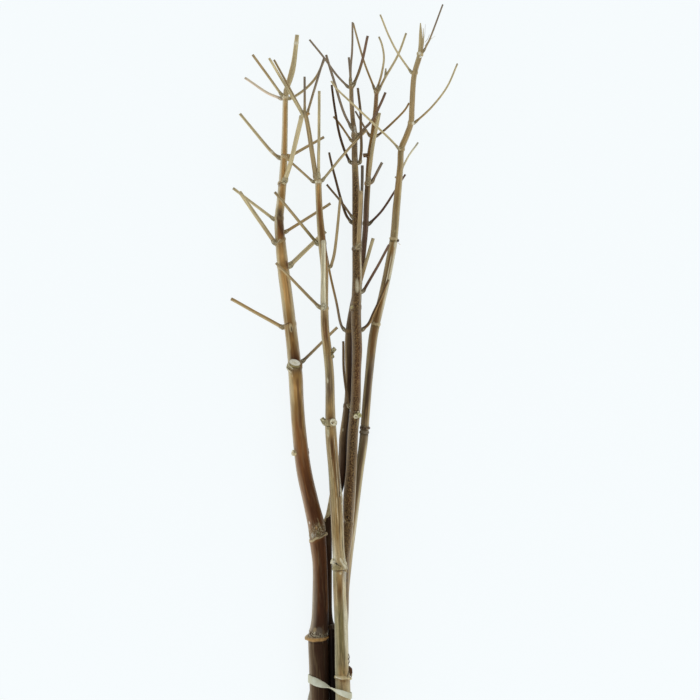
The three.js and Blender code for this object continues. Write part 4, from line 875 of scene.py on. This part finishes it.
def tones_with_side_light(stops, at, angle):
    """The bark's colour along and round a stem, from stops (along, left, middle, right) as seen from above.
    The left and right colours carry painted rim light and painted shade over the bark's own colour.
    """
    knots = [stop[0] for stop in stops]
    left, middle, right = (
        np.stack([np.interp(at, knots, [stop[n][k] for stop in stops]) for k in range(3)], axis=-1)[:, None]
        for n in (1, 2, 3)
    )
    seen = np.cos(angle)
    middle_ends, side_begins = 0.2, 0.9  # in radii from the middle line
    to_left = smooth(middle_ends, side_begins, -seen)[..., None]
    to_right = smooth(middle_ends, side_begins, seen)[..., None]
    return middle * (1 - to_left - to_right) + left * to_left + right * to_right


def cut_end(radius, rim, wood, heart):
    """A sawn end: a bevelled rim, a flat of wood and a sunken heart of pith"""
    return [
        (0.985, 0.02 * radius, mixed(rim, wood, 0.3)),
        (0.93, 0.05 * radius, wood),
        (0.62, 0.05 * radius, wood),
        (0.52, 0.03 * radius, mixed(wood, heart, 0.5)),
        (0.3, -0.02 * radius, heart),
        (0.04, -0.05 * radius, heart),
    ]


def torn_end(radius, rim, face, heart):
    """A broken or pruned end: a hollowed face with a deep heart"""
    return [
        (0.95, 0.02 * radius, mixed(rim, face, 0.5)),
        (0.85, -0.04 * radius, face),
        (0.5, -0.10 * radius, face),
        (0.3, -0.14 * radius, mixed(face, heart, 0.5)),
        (0.06, -0.2 * radius, heart),
    ]


class Bark:
    """A main stem's surface while it is worked on: radius and colour at each station and side"""

    def __init__(self, stem, seed):
        low, high = stem["line"][0][1], stem["line"][-1][1]
        near = [
            np.arange(spot["at"] - RING_REACH, spot["at"] + RING_REACH, RING_STEP)
            for spot in stem["joints"]
        ]
        at = np.unique(np.round(np.concatenate([np.arange(low, high, STEM_STEP), [high], *near]), 1))
        self.at = at[(at >= low) & (at <= high)]
        rows = along_line(stem["line"], self.at)
        self.centres = rows[:, :3]
        self.radius = rows[:, 3:4]
        self.distance = self.at[:, None]
        self.angle = angles(STEM_SIDES)[None]
        self.waves = Waves(seed)
        out_of_round, flutes = 0.012 * self.wavy((1, 3), 30), 0.009 * self.wavy((7, 15), 60)
        self.reach = self.radius * (1 + out_of_round + flutes)
        self.tones = tones_with_side_light(stem["tones"], self.at, self.angle)
        self.ragged = self.wavy((2, 6), 5)
        self.crust = np.zeros_like(self.ragged)

    def wavy(self, around, length):
        return self.waves.over(self.distance, self.angle, around, length)

    def dye(self, colour_of, share):
        self.tones = blended(self.tones, colour_of, np.clip(share, 0, 1))

    def rim_light(self, colour_of, stops):
        """Pale rim light painted down both sides of the stem as seen from above, from stops (along,
        strength left, strength right)
        """
        rim_light_begins = 0.68  # in radii from the middle line
        knots, left, right = zip(*stops)
        seen = np.cos(self.angle)
        for side, strengths in ((-seen, left), (seen, right)):
            share = smooth(rim_light_begins, 1.0, side + 0.06 * self.ragged)
            self.dye(colour_of, share * np.interp(self.distance, knots, strengths))

    def streak(self, across, half, start, stop, colour_of, strength):
        """A long streak with ragged edges, at a place across the stem and `half` radii to either side,
        painted only on the upper side. The dark streaks down the middle are painted shade over the bark's
        own colour.
        """
        fade, ragged_mm = 10, 4  # mm over which its ends fade, and by which they are uneven
        drift = 0.09 * self.waves.over(self.distance, self.angle * 0, (1, 1), 24)
        off = np.abs(np.cos(self.angle) - across - drift) / (half * (1 + 0.3 * self.ragged))
        facing_up = np.sin(self.angle) > -0.1
        along = self.distance + ragged_mm * self.ragged
        share = (1 - smooth(0.45, 1.25, off)) * facing_up
        share = share * smooth(start, start + fade, along) * (1 - smooth(stop - fade, stop, along))
        self.dye(colour_of, share * strength)

    def ring(self, spot):
        """A swollen ring with a groove over it, and the shaded and crusted bark on either side of it"""
        half, rough = spot["half"], spot["rough"]
        uneven, fine = self.wavy((2, 7), 3), self.wavy((6, 14), 1.4)
        lean = spot["tilt"][0] * np.cos(self.angle - math.radians(spot["tilt"][1]))
        up = self.distance - spot["at"] - lean + 0.3 * rough * uneven
        top_from, top_to = -0.35 * half, 0.2 * half
        bump = smooth(-half, top_from, up) * (1 - smooth(top_to, half, up))
        push = spot["push"][0] * np.clip(np.cos(self.angle - math.radians(spot["push"][1])), 0, 1) ** 2
        groove = 0.03 * self.radius * bell(up - 1.25 * half, 0.45 * half)
        lumps = 1 + rough * (0.15 * uneven + 0.14 * fine)
        self.reach = self.reach + bump * (spot["swell"] * lumps + push)
        self.reach = self.reach - groove
        # Painted shade just under the ring, towards the foot
        if spot["below"]:
            colour_of, length, strength = spot["below"]
            share = smooth(-half - length, -half, up) * (1 - smooth(-half, -0.6 * half, up))
            self.dye(colour_of, share * strength)
        if spot["crust"]:
            colour_of, length, strength = spot["crust"]
            flecks = smooth(-0.6, 0.5, fine + 0.6 * uneven)
            share = smooth(top_to, half, up)
            share = share * (1 - smooth(0.55 * length, length, up + 2.0 * self.ragged))
            self.dye(colour_of, share * strength * (0.6 + 0.4 * flecks))
            self.reach = self.reach + 0.2 * share * (flecks - 0.3)
            self.crust = np.maximum(self.crust, share * strength)
        if spot["ledge"] is not None:
            self.dye(spot["ledge"], bump * spot["strength"] * (0.8 + 0.2 * np.clip(fine, -1, 1)))

    def print_mark(self, spot):
        """A mark or a line, worked out on the bark as if it were unrolled"""
        middle = np.interp(spot["at"], self.at, self.radius[:, 0])
        turn = turn_at(spot["across"])
        u = self.distance - spot["at"]
        v = middle * apart(self.angle, turn)
        if "end" in spot:
            end_at, end_across = spot["end"]
            du, dv = end_at - spot["at"], middle * (turn_at(end_across) - turn)
            t = np.clip((u * du + v * dv) / (du * du + dv * dv + 1e-9), 0, 1)
            off = np.hypot(u - t * du, v - t * dv) / spot["width"]
            taper = 1 - 0.5 * np.abs(2 * t - 1) ** 3
            share = 1 - smooth(0.5, 1.3, off / taper + 0.16 * self.ragged)  # 1 at its middle line
        else:
            off = np.hypot(u / spot["length"], v / spot["width"])
            share = 1 - smooth(0.55, 1.15, off + 0.14 * self.ragged)  # 1 over its middle half
        self.dye(spot["dye"], share * spot["strength"])
        self.reach = self.reach + spot["rise"] * share


def main_stem(skin, stem, seed):
    """The jointed main stem, with its rings, its marks and the colours along and round it"""
    bark = Bark(stem, seed)
    # Painted rim light down both sides of the stem
    bark.rim_light(*stem["rim_light"])
    for streak in stem["streaks"]:
        bark.streak(*streak)
    for spot in stem["joints"]:
        bark.ring(spot)
    for spot in stem["marks"]:
        bark.print_mark(spot)
    facing_up = STEM_SIDES // 4
    top_radius, top_tone = bark.radius[-1, 0], bark.tones[-1, facing_up]
    foot = cut_end(bark.radius[0, 0], bark.tones[0, facing_up], STRAW, CREAM)
    top = [(share, out * top_radius, top_tone) for share, out in ((0.8, 0.3), (0.4, 0.5), (0.05, 0.55))]
    skin.bar(bark.centres, bark.reach, bark.tones, bark.waves.grain_start(), (foot, top),
             np.clip(bark.crust, 0, 1), specked=1.0)


def branch(skin, spec, seed):
    """A branch or twig: a cracked collar at its root, slight bends and wrinkles, and a cut tip"""
    waves = Waves(seed)
    centres, distance = bent_through(spec["places"], TWIG_STEP)
    length = distance[-1]
    angle = angles(TWIG_SIDES)[None]
    away = distance[:, None]  # mm from its start, inside the stem
    out = away - distance[np.argmax(skin.outside(centres) > 0)]  # mm from where it leaves the stem
    root, tip = spec["tones"]
    # Where its collar swells from and to, and where its lip and the crack beyond it are, in mm outwards
    swell_from, swell_to, lip_at, crack_at = 1.2, 3.8, 3.3, 3.6

    # Its thickness, with fine wrinkles and the collar's swelling and lip
    radius = thickness(spec["thick"], away / length)
    ragged = waves.over(away, angle, (1, 3), 3)
    wrinkles = 1 + 0.03 * waves.over(away, angle, (0, 2), 14) + 0.03 * waves.over(away, angle, (3, 6), 26)
    swell = 0.42 * (1 - smooth(swell_from, swell_to, out)) + 0.16 * bell(out - lip_at, 0.6)
    reach = radius * wrinkles * (1 + spec["collar"] * (swell + 0.05 * ragged * (out < 4)))

    # It sways a little from side to side between its collar and its tip
    sway = 0.14 * (waves.over(away, angle * 0, (1, 1), 15) * smooth(4, 16, out))[:, :1]
    centres = centres + frames(centres)[1] * sway * smooth(0, 4, length - away)

    # Its colour, blotched, with one streak down one side: by default a darker streak at a seeded place
    # round it, painted shade; a given streak is a painted highlight or painted shade by its colour
    dyed = mixed(root, tip, smooth(0, 0.7 * length, away)[..., None])
    dyed = np.repeat(dyed, TWIG_SIDES, axis=1)
    blotch = waves.over(away, angle, (1, 3), 18)
    dyed = dyed * (1.05 + 0.11 * blotch)[..., None]
    turn, shade, strength = waves.draw.uniform(0, math.pi), mixed(tip, UMBER, 0.45), 0.35
    if spec["streak"]:
        across, shade = spec["streak"]
        turn, strength = turn_at(across), 0.7
    streak = 1 - smooth(0.2, 0.75, np.abs(apart(angle, turn)) + 0.12 * blotch)
    dyed = blended(dyed, shade, strength * streak)

    # Darker towards the root, with a dull collar between two cracks
    rootish = 1 - smooth(1.5, 9, out + 1.2 * blotch)
    dyed = blended(dyed, mixed(root, CHESTNUT, 0.5), 0.35 * spec["collar"] * rootish)
    collar = 1 - smooth(2.6, 3.4, out + 0.4 * ragged)
    dyed = blended(dyed, mixed(root, SAGE, 0.5), 0.65 * spec["collar"] * collar)
    cracks = bell(out - crack_at + 0.5 * ragged, 0.45) + bell(out - 0.6, 0.5)
    dyed = blended(dyed, SOOT, np.clip(0.5 * spec["collar"] * cracks, 0, 1))
    for knot in spec["knots"]:
        ring = bell(away - knot, 1.5)
        reach = reach * (1 + 0.16 * ring)
        dyed = blended(dyed, CHALK, 0.6 * ring)

    # Greyer at the cut tip
    weathered = smooth(length - 5, length - 0.5, away + blotch)
    dyed = blended(dyed, mixed(tip, SLATE, 0.6), 0.5 * weathered)
    end = cut_end(radius[-1, 0], mixed(tip, SLATE, 0.5), mixed(tip, SLATE, 0.4), STRAW)
    crust = spec["collar"] * 0.7 * (1 - smooth(2.5, 4.5, out)) * np.ones_like(angle)
    skin.bar(centres, reach, dyed, waves.grain_start(), (None, end), crust)


def cut_stub(skin, spec, seed):
    """A short stub or scar: a rough rim round a pale cut face"""
    waves = Waves(seed)
    centres, distance = bent_through(spec["places"], STUB_STEP)
    away = distance[:, None]
    length = distance[-1]
    angle = angles(STUB_SIDES)[None]
    radius = thickness(spec["thick"], away / length)
    uneven = 0.05 * waves.over(away, angle, (1, 4), 3) + 0.035 * waves.over(away, angle, (4, 9), 2)
    section = oval(angle - math.radians(spec["roll"]), spec["squash"])
    lip = 1 + 0.06 * smooth(length - 1.4, length - 0.4, away)
    reach = radius * section * (1 + spec["ragged"] * uneven) * lip
    blotch = 0.12 * (1 + spec["ragged"]) * waves.over(away, angle, (2, 6), 2)
    dyed = spec["rim"] * (1 + blotch)[..., None]
    end = torn_end(radius[-1, 0], spec["rim"], spec["face"], spec["heart"])
    crust = np.full(reach.shape, min(1.0, 0.4 * spec["ragged"]))
    skin.bar(centres, reach, dyed, waves.grain_start(), (None, end), crust)


def loose_strand(skin, spec):
    centres, distance = bent_through(spec["places"], STRAND_STEP)
    radius = thickness(spec["thick"], distance[:, None] / distance[-1])
    reach = radius * oval(angles(STRAND_SIDES), spec["flat"])
    grain_start = np.array([5.0, 9.0, 2.0])
    skin.bar(centres, reach, np.broadcast_to(spec["dye"], (*reach.shape, 3)), grain_start)


def dressed_stem(stem, seed):
    skin = Skin()
    main_stem(skin, stem, seed)
    for i, spec in enumerate(stem["twigs"]):
        branch(skin, spec, seed + TWIG_SEED + i)
    for i, spec in enumerate(stem["stubs"]):
        cut_stub(skin, spec, seed + STUB_SEED + i)
    for spec in stem["strands"]:
        loose_strand(skin, spec)
    made = skin.built(stem["node"].replace("stem", "bark"))
    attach(made, "root")
    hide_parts(stem["node"])
    return made


def band_share(side):
    """How far across the band's slant a place is: 0 at the bunch's left, 1 at its right"""
    return np.clip((side - BAND_LEFT["side"]) / (BAND_RIGHT["side"] - BAND_LEFT["side"]), 0, 1)


def band_circles(stand_off):
    """The stems' sections where the band crosses them, as (side, height, radius), grown by the stand-off"""
    circles = []
    for stem in STEMS:
        near = along_line(stem["line"], np.array([BAND_LEFT["along"]]))[0, 0]
        at = mixed(BAND_LEFT["along"], BAND_RIGHT["along"], band_share(near))
        side, _, height, radius = along_line(stem["line"], np.array([at]))[0]
        circles.append((side, height, radius + stand_off))
    return np.array(circles)


def tight_loop(stand_off, count):
    """The loop round the stems where the band crosses them, as evenly spaced (side, height) points"""
    circles = band_circles(stand_off)
    facing = angles(3 * count)
    facing = np.stack([np.cos(facing), np.sin(facing)], axis=1)
    outermost = np.argmax(facing @ circles[:, :2].T + circles[:, 2], axis=1)
    points = circles[outermost, :2] + circles[outermost, 2:] * facing
    closed = np.concatenate([points, points[:1]])
    distance = run(closed)
    return resampled(closed, distance, np.linspace(0, distance[-1], count, endpoint=False))


def squared(value, power):
    """A circle's sine or cosine pushed out towards a square's"""
    return np.sign(value) * np.abs(value) ** power


def rubber_band():
    """The flat band, slanting round the bunch, with rounded edges and its one half turn"""
    loop = tight_loop(BAND_CLEARANCE + BAND_THICKNESS / 2, BAND_STATIONS)
    ahead = np.roll(loop, -1, axis=0) - np.roll(loop, 1, axis=0)
    outward = unit(np.stack([ahead[:, 1], -ahead[:, 0]], axis=1))
    share = band_share(loop[:, 0])
    along = mixed(BAND_LEFT["along"], BAND_RIGHT["along"], share)
    half_width = mixed(BAND_LEFT["width"], BAND_RIGHT["width"], share) / 2
    on_top = np.arange(BAND_STATIONS) < BAND_STATIONS / 2
    turned = np.where(on_top, 1 - np.interp(loop[:, 0], *zip(*BAND_TURN)), 1.0) * math.pi

    # Where it turns over close to a stem, it rises until its lower edge clears the bark
    deepest = np.abs(np.sin(turned)) * half_width + BAND_THICKNESS / 2 * np.abs(np.cos(turned))
    room = np.min([np.hypot(*(loop - circle[:2]).T) - circle[2] for circle in band_circles(0.0)], axis=0)
    lift = np.maximum(0.0, deepest + BAND_EDGE_CLEARANCE - room)
    loop = loop + outward * lift[:, None]

    # A flat section with rounded edges, wide across and thin through, and a slightly uneven width
    corner = angles(BAND_CORNERS)
    across, through = squared(np.cos(corner), 0.45), squared(np.sin(corner), 0.6)
    phase = np.random.default_rng(5).uniform(0, 2 * math.pi, 2)
    station = np.arange(BAND_STATIONS) / BAND_STATIONS * 2 * math.pi
    uneven = 1 + 0.025 * np.sin(5 * station + phase[0]) + 0.02 * np.sin(13 * station + phase[1])
    wide = across[None] * (half_width * uneven)[:, None]
    deep = np.repeat(through[None] * BAND_THICKNESS / 2 * 0.9, BAND_STATIONS, axis=0)
    cos, sin = np.cos(turned)[:, None], np.sin(turned)[:, None]
    over, out = wide * cos - deep * sin, wide * sin + deep * cos
    points = np.stack([
        loop[:, :1] + outward[:, :1] * out,
        along[:, None] + over,
        loop[:, 1:] + outward[:, 1:] * out,
    ], axis=-1).reshape(-1, 3)

    # Past the half turn the last section meets the first one upside down
    index = np.arange(BAND_STATIONS * BAND_CORNERS).reshape(BAND_STATIONS, BAND_CORNERS)
    beyond = np.concatenate([index[1:], np.roll(index[:1], -(BAND_CORNERS // 2), axis=1)])
    faces = np.stack([index, np.roll(index, -1, axis=1), np.roll(beyond, -1, axis=1), beyond], axis=-1)
    made = mesh_object("rubber_tie", points, faces.reshape(-1, 4).tolist())
    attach(made, "root")
    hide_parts("tie_band")
    return made


class Nodes:
    """A node tree, built one node at a time"""

    def __init__(self, tree):
        self.tree = tree

    def add(self, kind, settings=None, **inputs):
        node = self.tree.nodes.new(kind)
        for key, value in (settings or {}).items():
            setattr(node, key, value)
        for key, value in inputs.items():
            self.join(node.inputs[key.replace("_", " ")], value)
        return node

    def join(self, socket, value):
        if isinstance(value, bpy.types.NodeSocket):
            self.tree.links.new(value, socket)
        else:
            socket.default_value = value

    def attribute(self, title, output="Fac"):
        return self.add("ShaderNodeAttribute", {"attribute_name": title}).outputs[output]

    def stretched_noise(self, place, across, along, detail=3.0, rough=0.6):
        """Noise over the bar, with its own scale across and along the grain"""
        mapped = self.add("ShaderNodeMapping", Vector=place, Scale=(across, across, along))
        noise = self.add("ShaderNodeTexNoise", Vector=mapped.outputs["Vector"], Scale=1.0, Detail=detail,
                         Roughness=rough)
        return noise.outputs["Fac"]

    def ranged(self, value, low, high, new_low, new_high, **settings):
        ends = {"From_Min": low, "From_Max": high, "To_Min": new_low, "To_Max": new_high}
        return self.add("ShaderNodeMapRange", settings, Value=value, **ends).outputs["Result"]

    def mix(self, share, one, other):
        node = self.add("ShaderNodeMix", {"data_type": "RGBA"})
        sockets = {socket.name: socket for socket in node.inputs if socket.enabled}
        self.join(sockets["Factor"], share)
        self.join(sockets["A"], one)
        self.join(sockets["B"], other)
        return next(socket for socket in node.outputs if socket.enabled)

    def maths(self, operation, one, other):
        node = self.add("ShaderNodeMath", {"operation": operation})
        self.join(node.inputs[0], one)
        self.join(node.inputs[1], other)
        return node.outputs[0]

    def times(self, one, other):
        return self.maths("MULTIPLY", one, other)

    def plus(self, one, other):
        return self.maths("ADD", one, other)

    def scaled(self, dye, factor):
        node = self.add("ShaderNodeVectorMath", {"operation": "SCALE"})
        self.join(node.inputs[0], dye)
        self.join(node.inputs["Scale"], factor)
        return node.outputs["Vector"]


class Surface(Nodes):
    """A material's node tree and its shader"""

    def __init__(self, name):
        self.material = bpy.data.materials.new(name)
        self.material.use_nodes = True
        super().__init__(self.material.node_tree)
        self.shader = self.tree.nodes["Principled BSDF"]

    def finish(self, **inputs):
        """Gives the shader its inputs, each a number, a colour or another node's output"""
        for key, value in inputs.items():
            self.join(self.shader.inputs[key.replace("_", " ")], value)
        return self.material

    def bumps(self, height, strength, deep):
        """The shader's normal over a height, `deep` metres at its most"""
        node = self.add("ShaderNodeBump", Height=height, Strength=strength, Distance=deep)
        return node.outputs["Normal"]


def opaque(dye):
    return (*[float(part) for part in dye], 1.0)


def bark_look(name, fibre=0.3, cracks=0.35, bleach=(STRAW, 0.2), specks=None, rough=0.42):
    """Dry bark: long fibres and fine cracks along the grain, paler worn areas, and specks where it has
    them. `specks` are (colour, how many to the mm, noise from, noise to, strength)."""
    tree = Surface(name)
    place = tree.attribute("grain", "Vector")
    tone = tree.attribute("tone", "Color")
    fibres = tree.stretched_noise(place, 0.75, 0.045, 5.0, 0.62)
    fine = tree.stretched_noise(place, 2.2, 0.14)
    worn = tree.stretched_noise(place, 0.3, 0.03, rough=0.55)
    split = tree.stretched_noise(place, 1.3, 0.035, 2.0, 0.5)
    dye = tree.scaled(tone, tree.ranged(fibres, 0.28, 0.72, 1 - fibre, 1 + fibre))
    dye = tree.scaled(dye, tree.ranged(fine, 0.3, 0.7, 0.86, 1.14))
    dye = tree.mix(tree.ranged(worn, 0.52, 0.72, 0.0, bleach[1]), dye, opaque(bleach[0]))
    dye = tree.scaled(dye, tree.ranged(split, 0.60, 0.70, 1.0, 1 - cracks))
    if specks:
        colour_of, size, low, high, strength = specks
        dots = tree.stretched_noise(place, size, size * 0.6, rough=0.7)
        dotted = tree.times(tree.attribute("specked"), tree.ranged(dots, low, high, 0.0, strength))
        dye = tree.mix(dotted, dye, opaque(colour_of))

    # Old joints are crusted: pale flecks and dark pits, about a millimetre across
    crust = tree.attribute("crust")
    flecks = tree.stretched_noise(place, 0.75, 0.6, rough=0.65)
    pits = tree.stretched_noise(place, 1.0, 0.75)
    dye = tree.mix(tree.times(crust, tree.ranged(flecks, 0.52, 0.62, 0.0, 0.9)), dye, opaque(CREAM))
    dye = tree.mix(tree.times(crust, tree.ranged(pits, 0.53, 0.61, 0.0, 0.9)), dye, opaque(SOOT))

    # Fibres stand out, and pits lie deeper
    height = tree.plus(fibres, tree.ranged(fine, 0.0, 1.0, 0.0, 0.5))
    height = tree.plus(height, tree.times(crust, tree.ranged(pits, 0.45, 0.65, 1.5, 0.0)))
    return tree.finish(
        Base_Color=dye,
        Roughness=tree.ranged(fine, 0.3, 0.7, rough - 0.06, rough + 0.1),
        Specular_IOR_Level=0.14,
        Normal=tree.bumps(height, 0.5, 0.0003),
    )


def rubber(name):
    """Old pale rubber: a faint uneven tint and a chalky surface"""
    tree = Surface(name)
    place = tree.add("ShaderNodeTexCoord").outputs["Object"]
    cloud = tree.stretched_noise(place, 90, 90)
    grain = tree.stretched_noise(place, 900, 900, 2.0)
    pale, yellowed = opaque(colour(206, 208, 188)), opaque(colour(188, 184, 154))
    return tree.finish(
        Base_Color=tree.mix(tree.ranged(cloud, 0.35, 0.7, 0.0, 1.0), pale, yellowed),
        Roughness=0.45,
        Normal=tree.bumps(grain, 0.25, 0.0002),
    )


def pale_floor(size):
    """Plain pale paper, lit through from below so that it stays white between the stems"""
    bpy.ops.mesh.primitive_plane_add(size=size, location=(0, 0, 0))
    floor = bpy.context.object
    floor.name = "floor"
    floor.data.materials.append(Surface("floor_paper").finish(
        Base_Color=(0.16, 0.165, 0.17, 1),
        Roughness=1.0,
        Specular_IOR_Level=0.0,
        Emission_Color=(0.94, 0.985, 1.0, 1),
        Emission_Strength=0.86,
    ))


def white_surround(horizon, zenith):
    """A white room, brightest all round at the horizon and dimmer overhead, where the camera is"""
    world = bpy.data.worlds.new("white_room")
    bpy.context.scene.world = world
    world.use_nodes = True
    tree = Nodes(world.node_tree)
    way = tree.add("ShaderNodeTexCoord").outputs["Generated"]
    upwards = tree.add("ShaderNodeSeparateXYZ", Vector=way).outputs["Z"]
    light = tree.ranged(upwards, 0.1, 0.95, horizon, zenith, interpolation_type="SMOOTHSTEP")
    back = world.node_tree.nodes["Background"]
    tree.join(back.inputs["Color"], (0.97, 0.99, 1.0, 1))
    tree.join(back.inputs["Strength"], light)


def near_light(power):
    """A wide lamp beyond the foot of the bunch, aimed at its middle"""
    place, aim = Vector((0.0, -2.6, 0.9)), Vector((0, 0.1, 0))
    lamp = bpy.data.lights.new("near_light", "AREA")
    lamp.shape = "RECTANGLE"
    lamp.size, lamp.size_y = 3.0, 1.0
    lamp.energy = power
    made = linked("near_light", lamp)
    made.location = place
    made.rotation_euler = (aim - place).to_track_quat("-Z", "Y").to_euler()


def camera_above(side, along):
    """Looks straight down on the bunch from far off, framing 700 mm of it as the photograph does"""
    height, framed, sensor = 5.0, 0.700, 36
    stems_height = 0.02  # where the frame is just that wide
    lens = bpy.data.cameras.new("camera")
    lens.sensor_width = sensor
    lens.lens = sensor * (height - stems_height) / framed
    lens.clip_start, lens.clip_end = 0.1, 100
    made = linked("camera", lens)
    made.location = (side, along, height)
    made.rotation_euler = (0, 0, 0)
    bpy.context.scene.camera = made


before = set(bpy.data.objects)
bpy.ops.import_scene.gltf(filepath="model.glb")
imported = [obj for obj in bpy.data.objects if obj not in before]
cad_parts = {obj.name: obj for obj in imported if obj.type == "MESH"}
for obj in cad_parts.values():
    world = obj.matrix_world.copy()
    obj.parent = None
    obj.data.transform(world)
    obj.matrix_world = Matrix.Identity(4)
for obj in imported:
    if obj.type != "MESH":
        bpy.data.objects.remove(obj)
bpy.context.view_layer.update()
camera_above(side=0.006, along=0.0425)

looks = {
    "golden_bark": bark_look("golden_bark", fibre=0.22, cracks=0.16, bleach=(TAN, 0.2)),
    "pale_bark": bark_look("pale_bark", fibre=0.36, cracks=0.55, bleach=(STRAW, 0.25),
                           specks=(MOSS, 1.5, 0.53, 0.64, 0.4), rough=0.48),
    "mottled_bark": bark_look("mottled_bark", bleach=(HONEY, 0.12),
                              specks=(HONEY, 1.35, 0.49, 0.58, 0.7)),
    "dark_bark": bark_look("dark_bark", fibre=0.28, bleach=(MAUVE, 0.15)),
    "olive_bark": bark_look("olive_bark", fibre=0.26),
}
for number, stem in enumerate(STEMS):
    dressed = dressed_stem(stem, 100 * (number + 1))
    dressed.data.materials.append(looks[stem["slot"]])
rubber_band().data.materials.append(rubber("band_rubber"))

pale_floor(size=14)
white_surround(horizon=1.3, zenith=0.4)
near_light(power=20)
bpy.context.scene.view_settings.view_transform = "Standard"
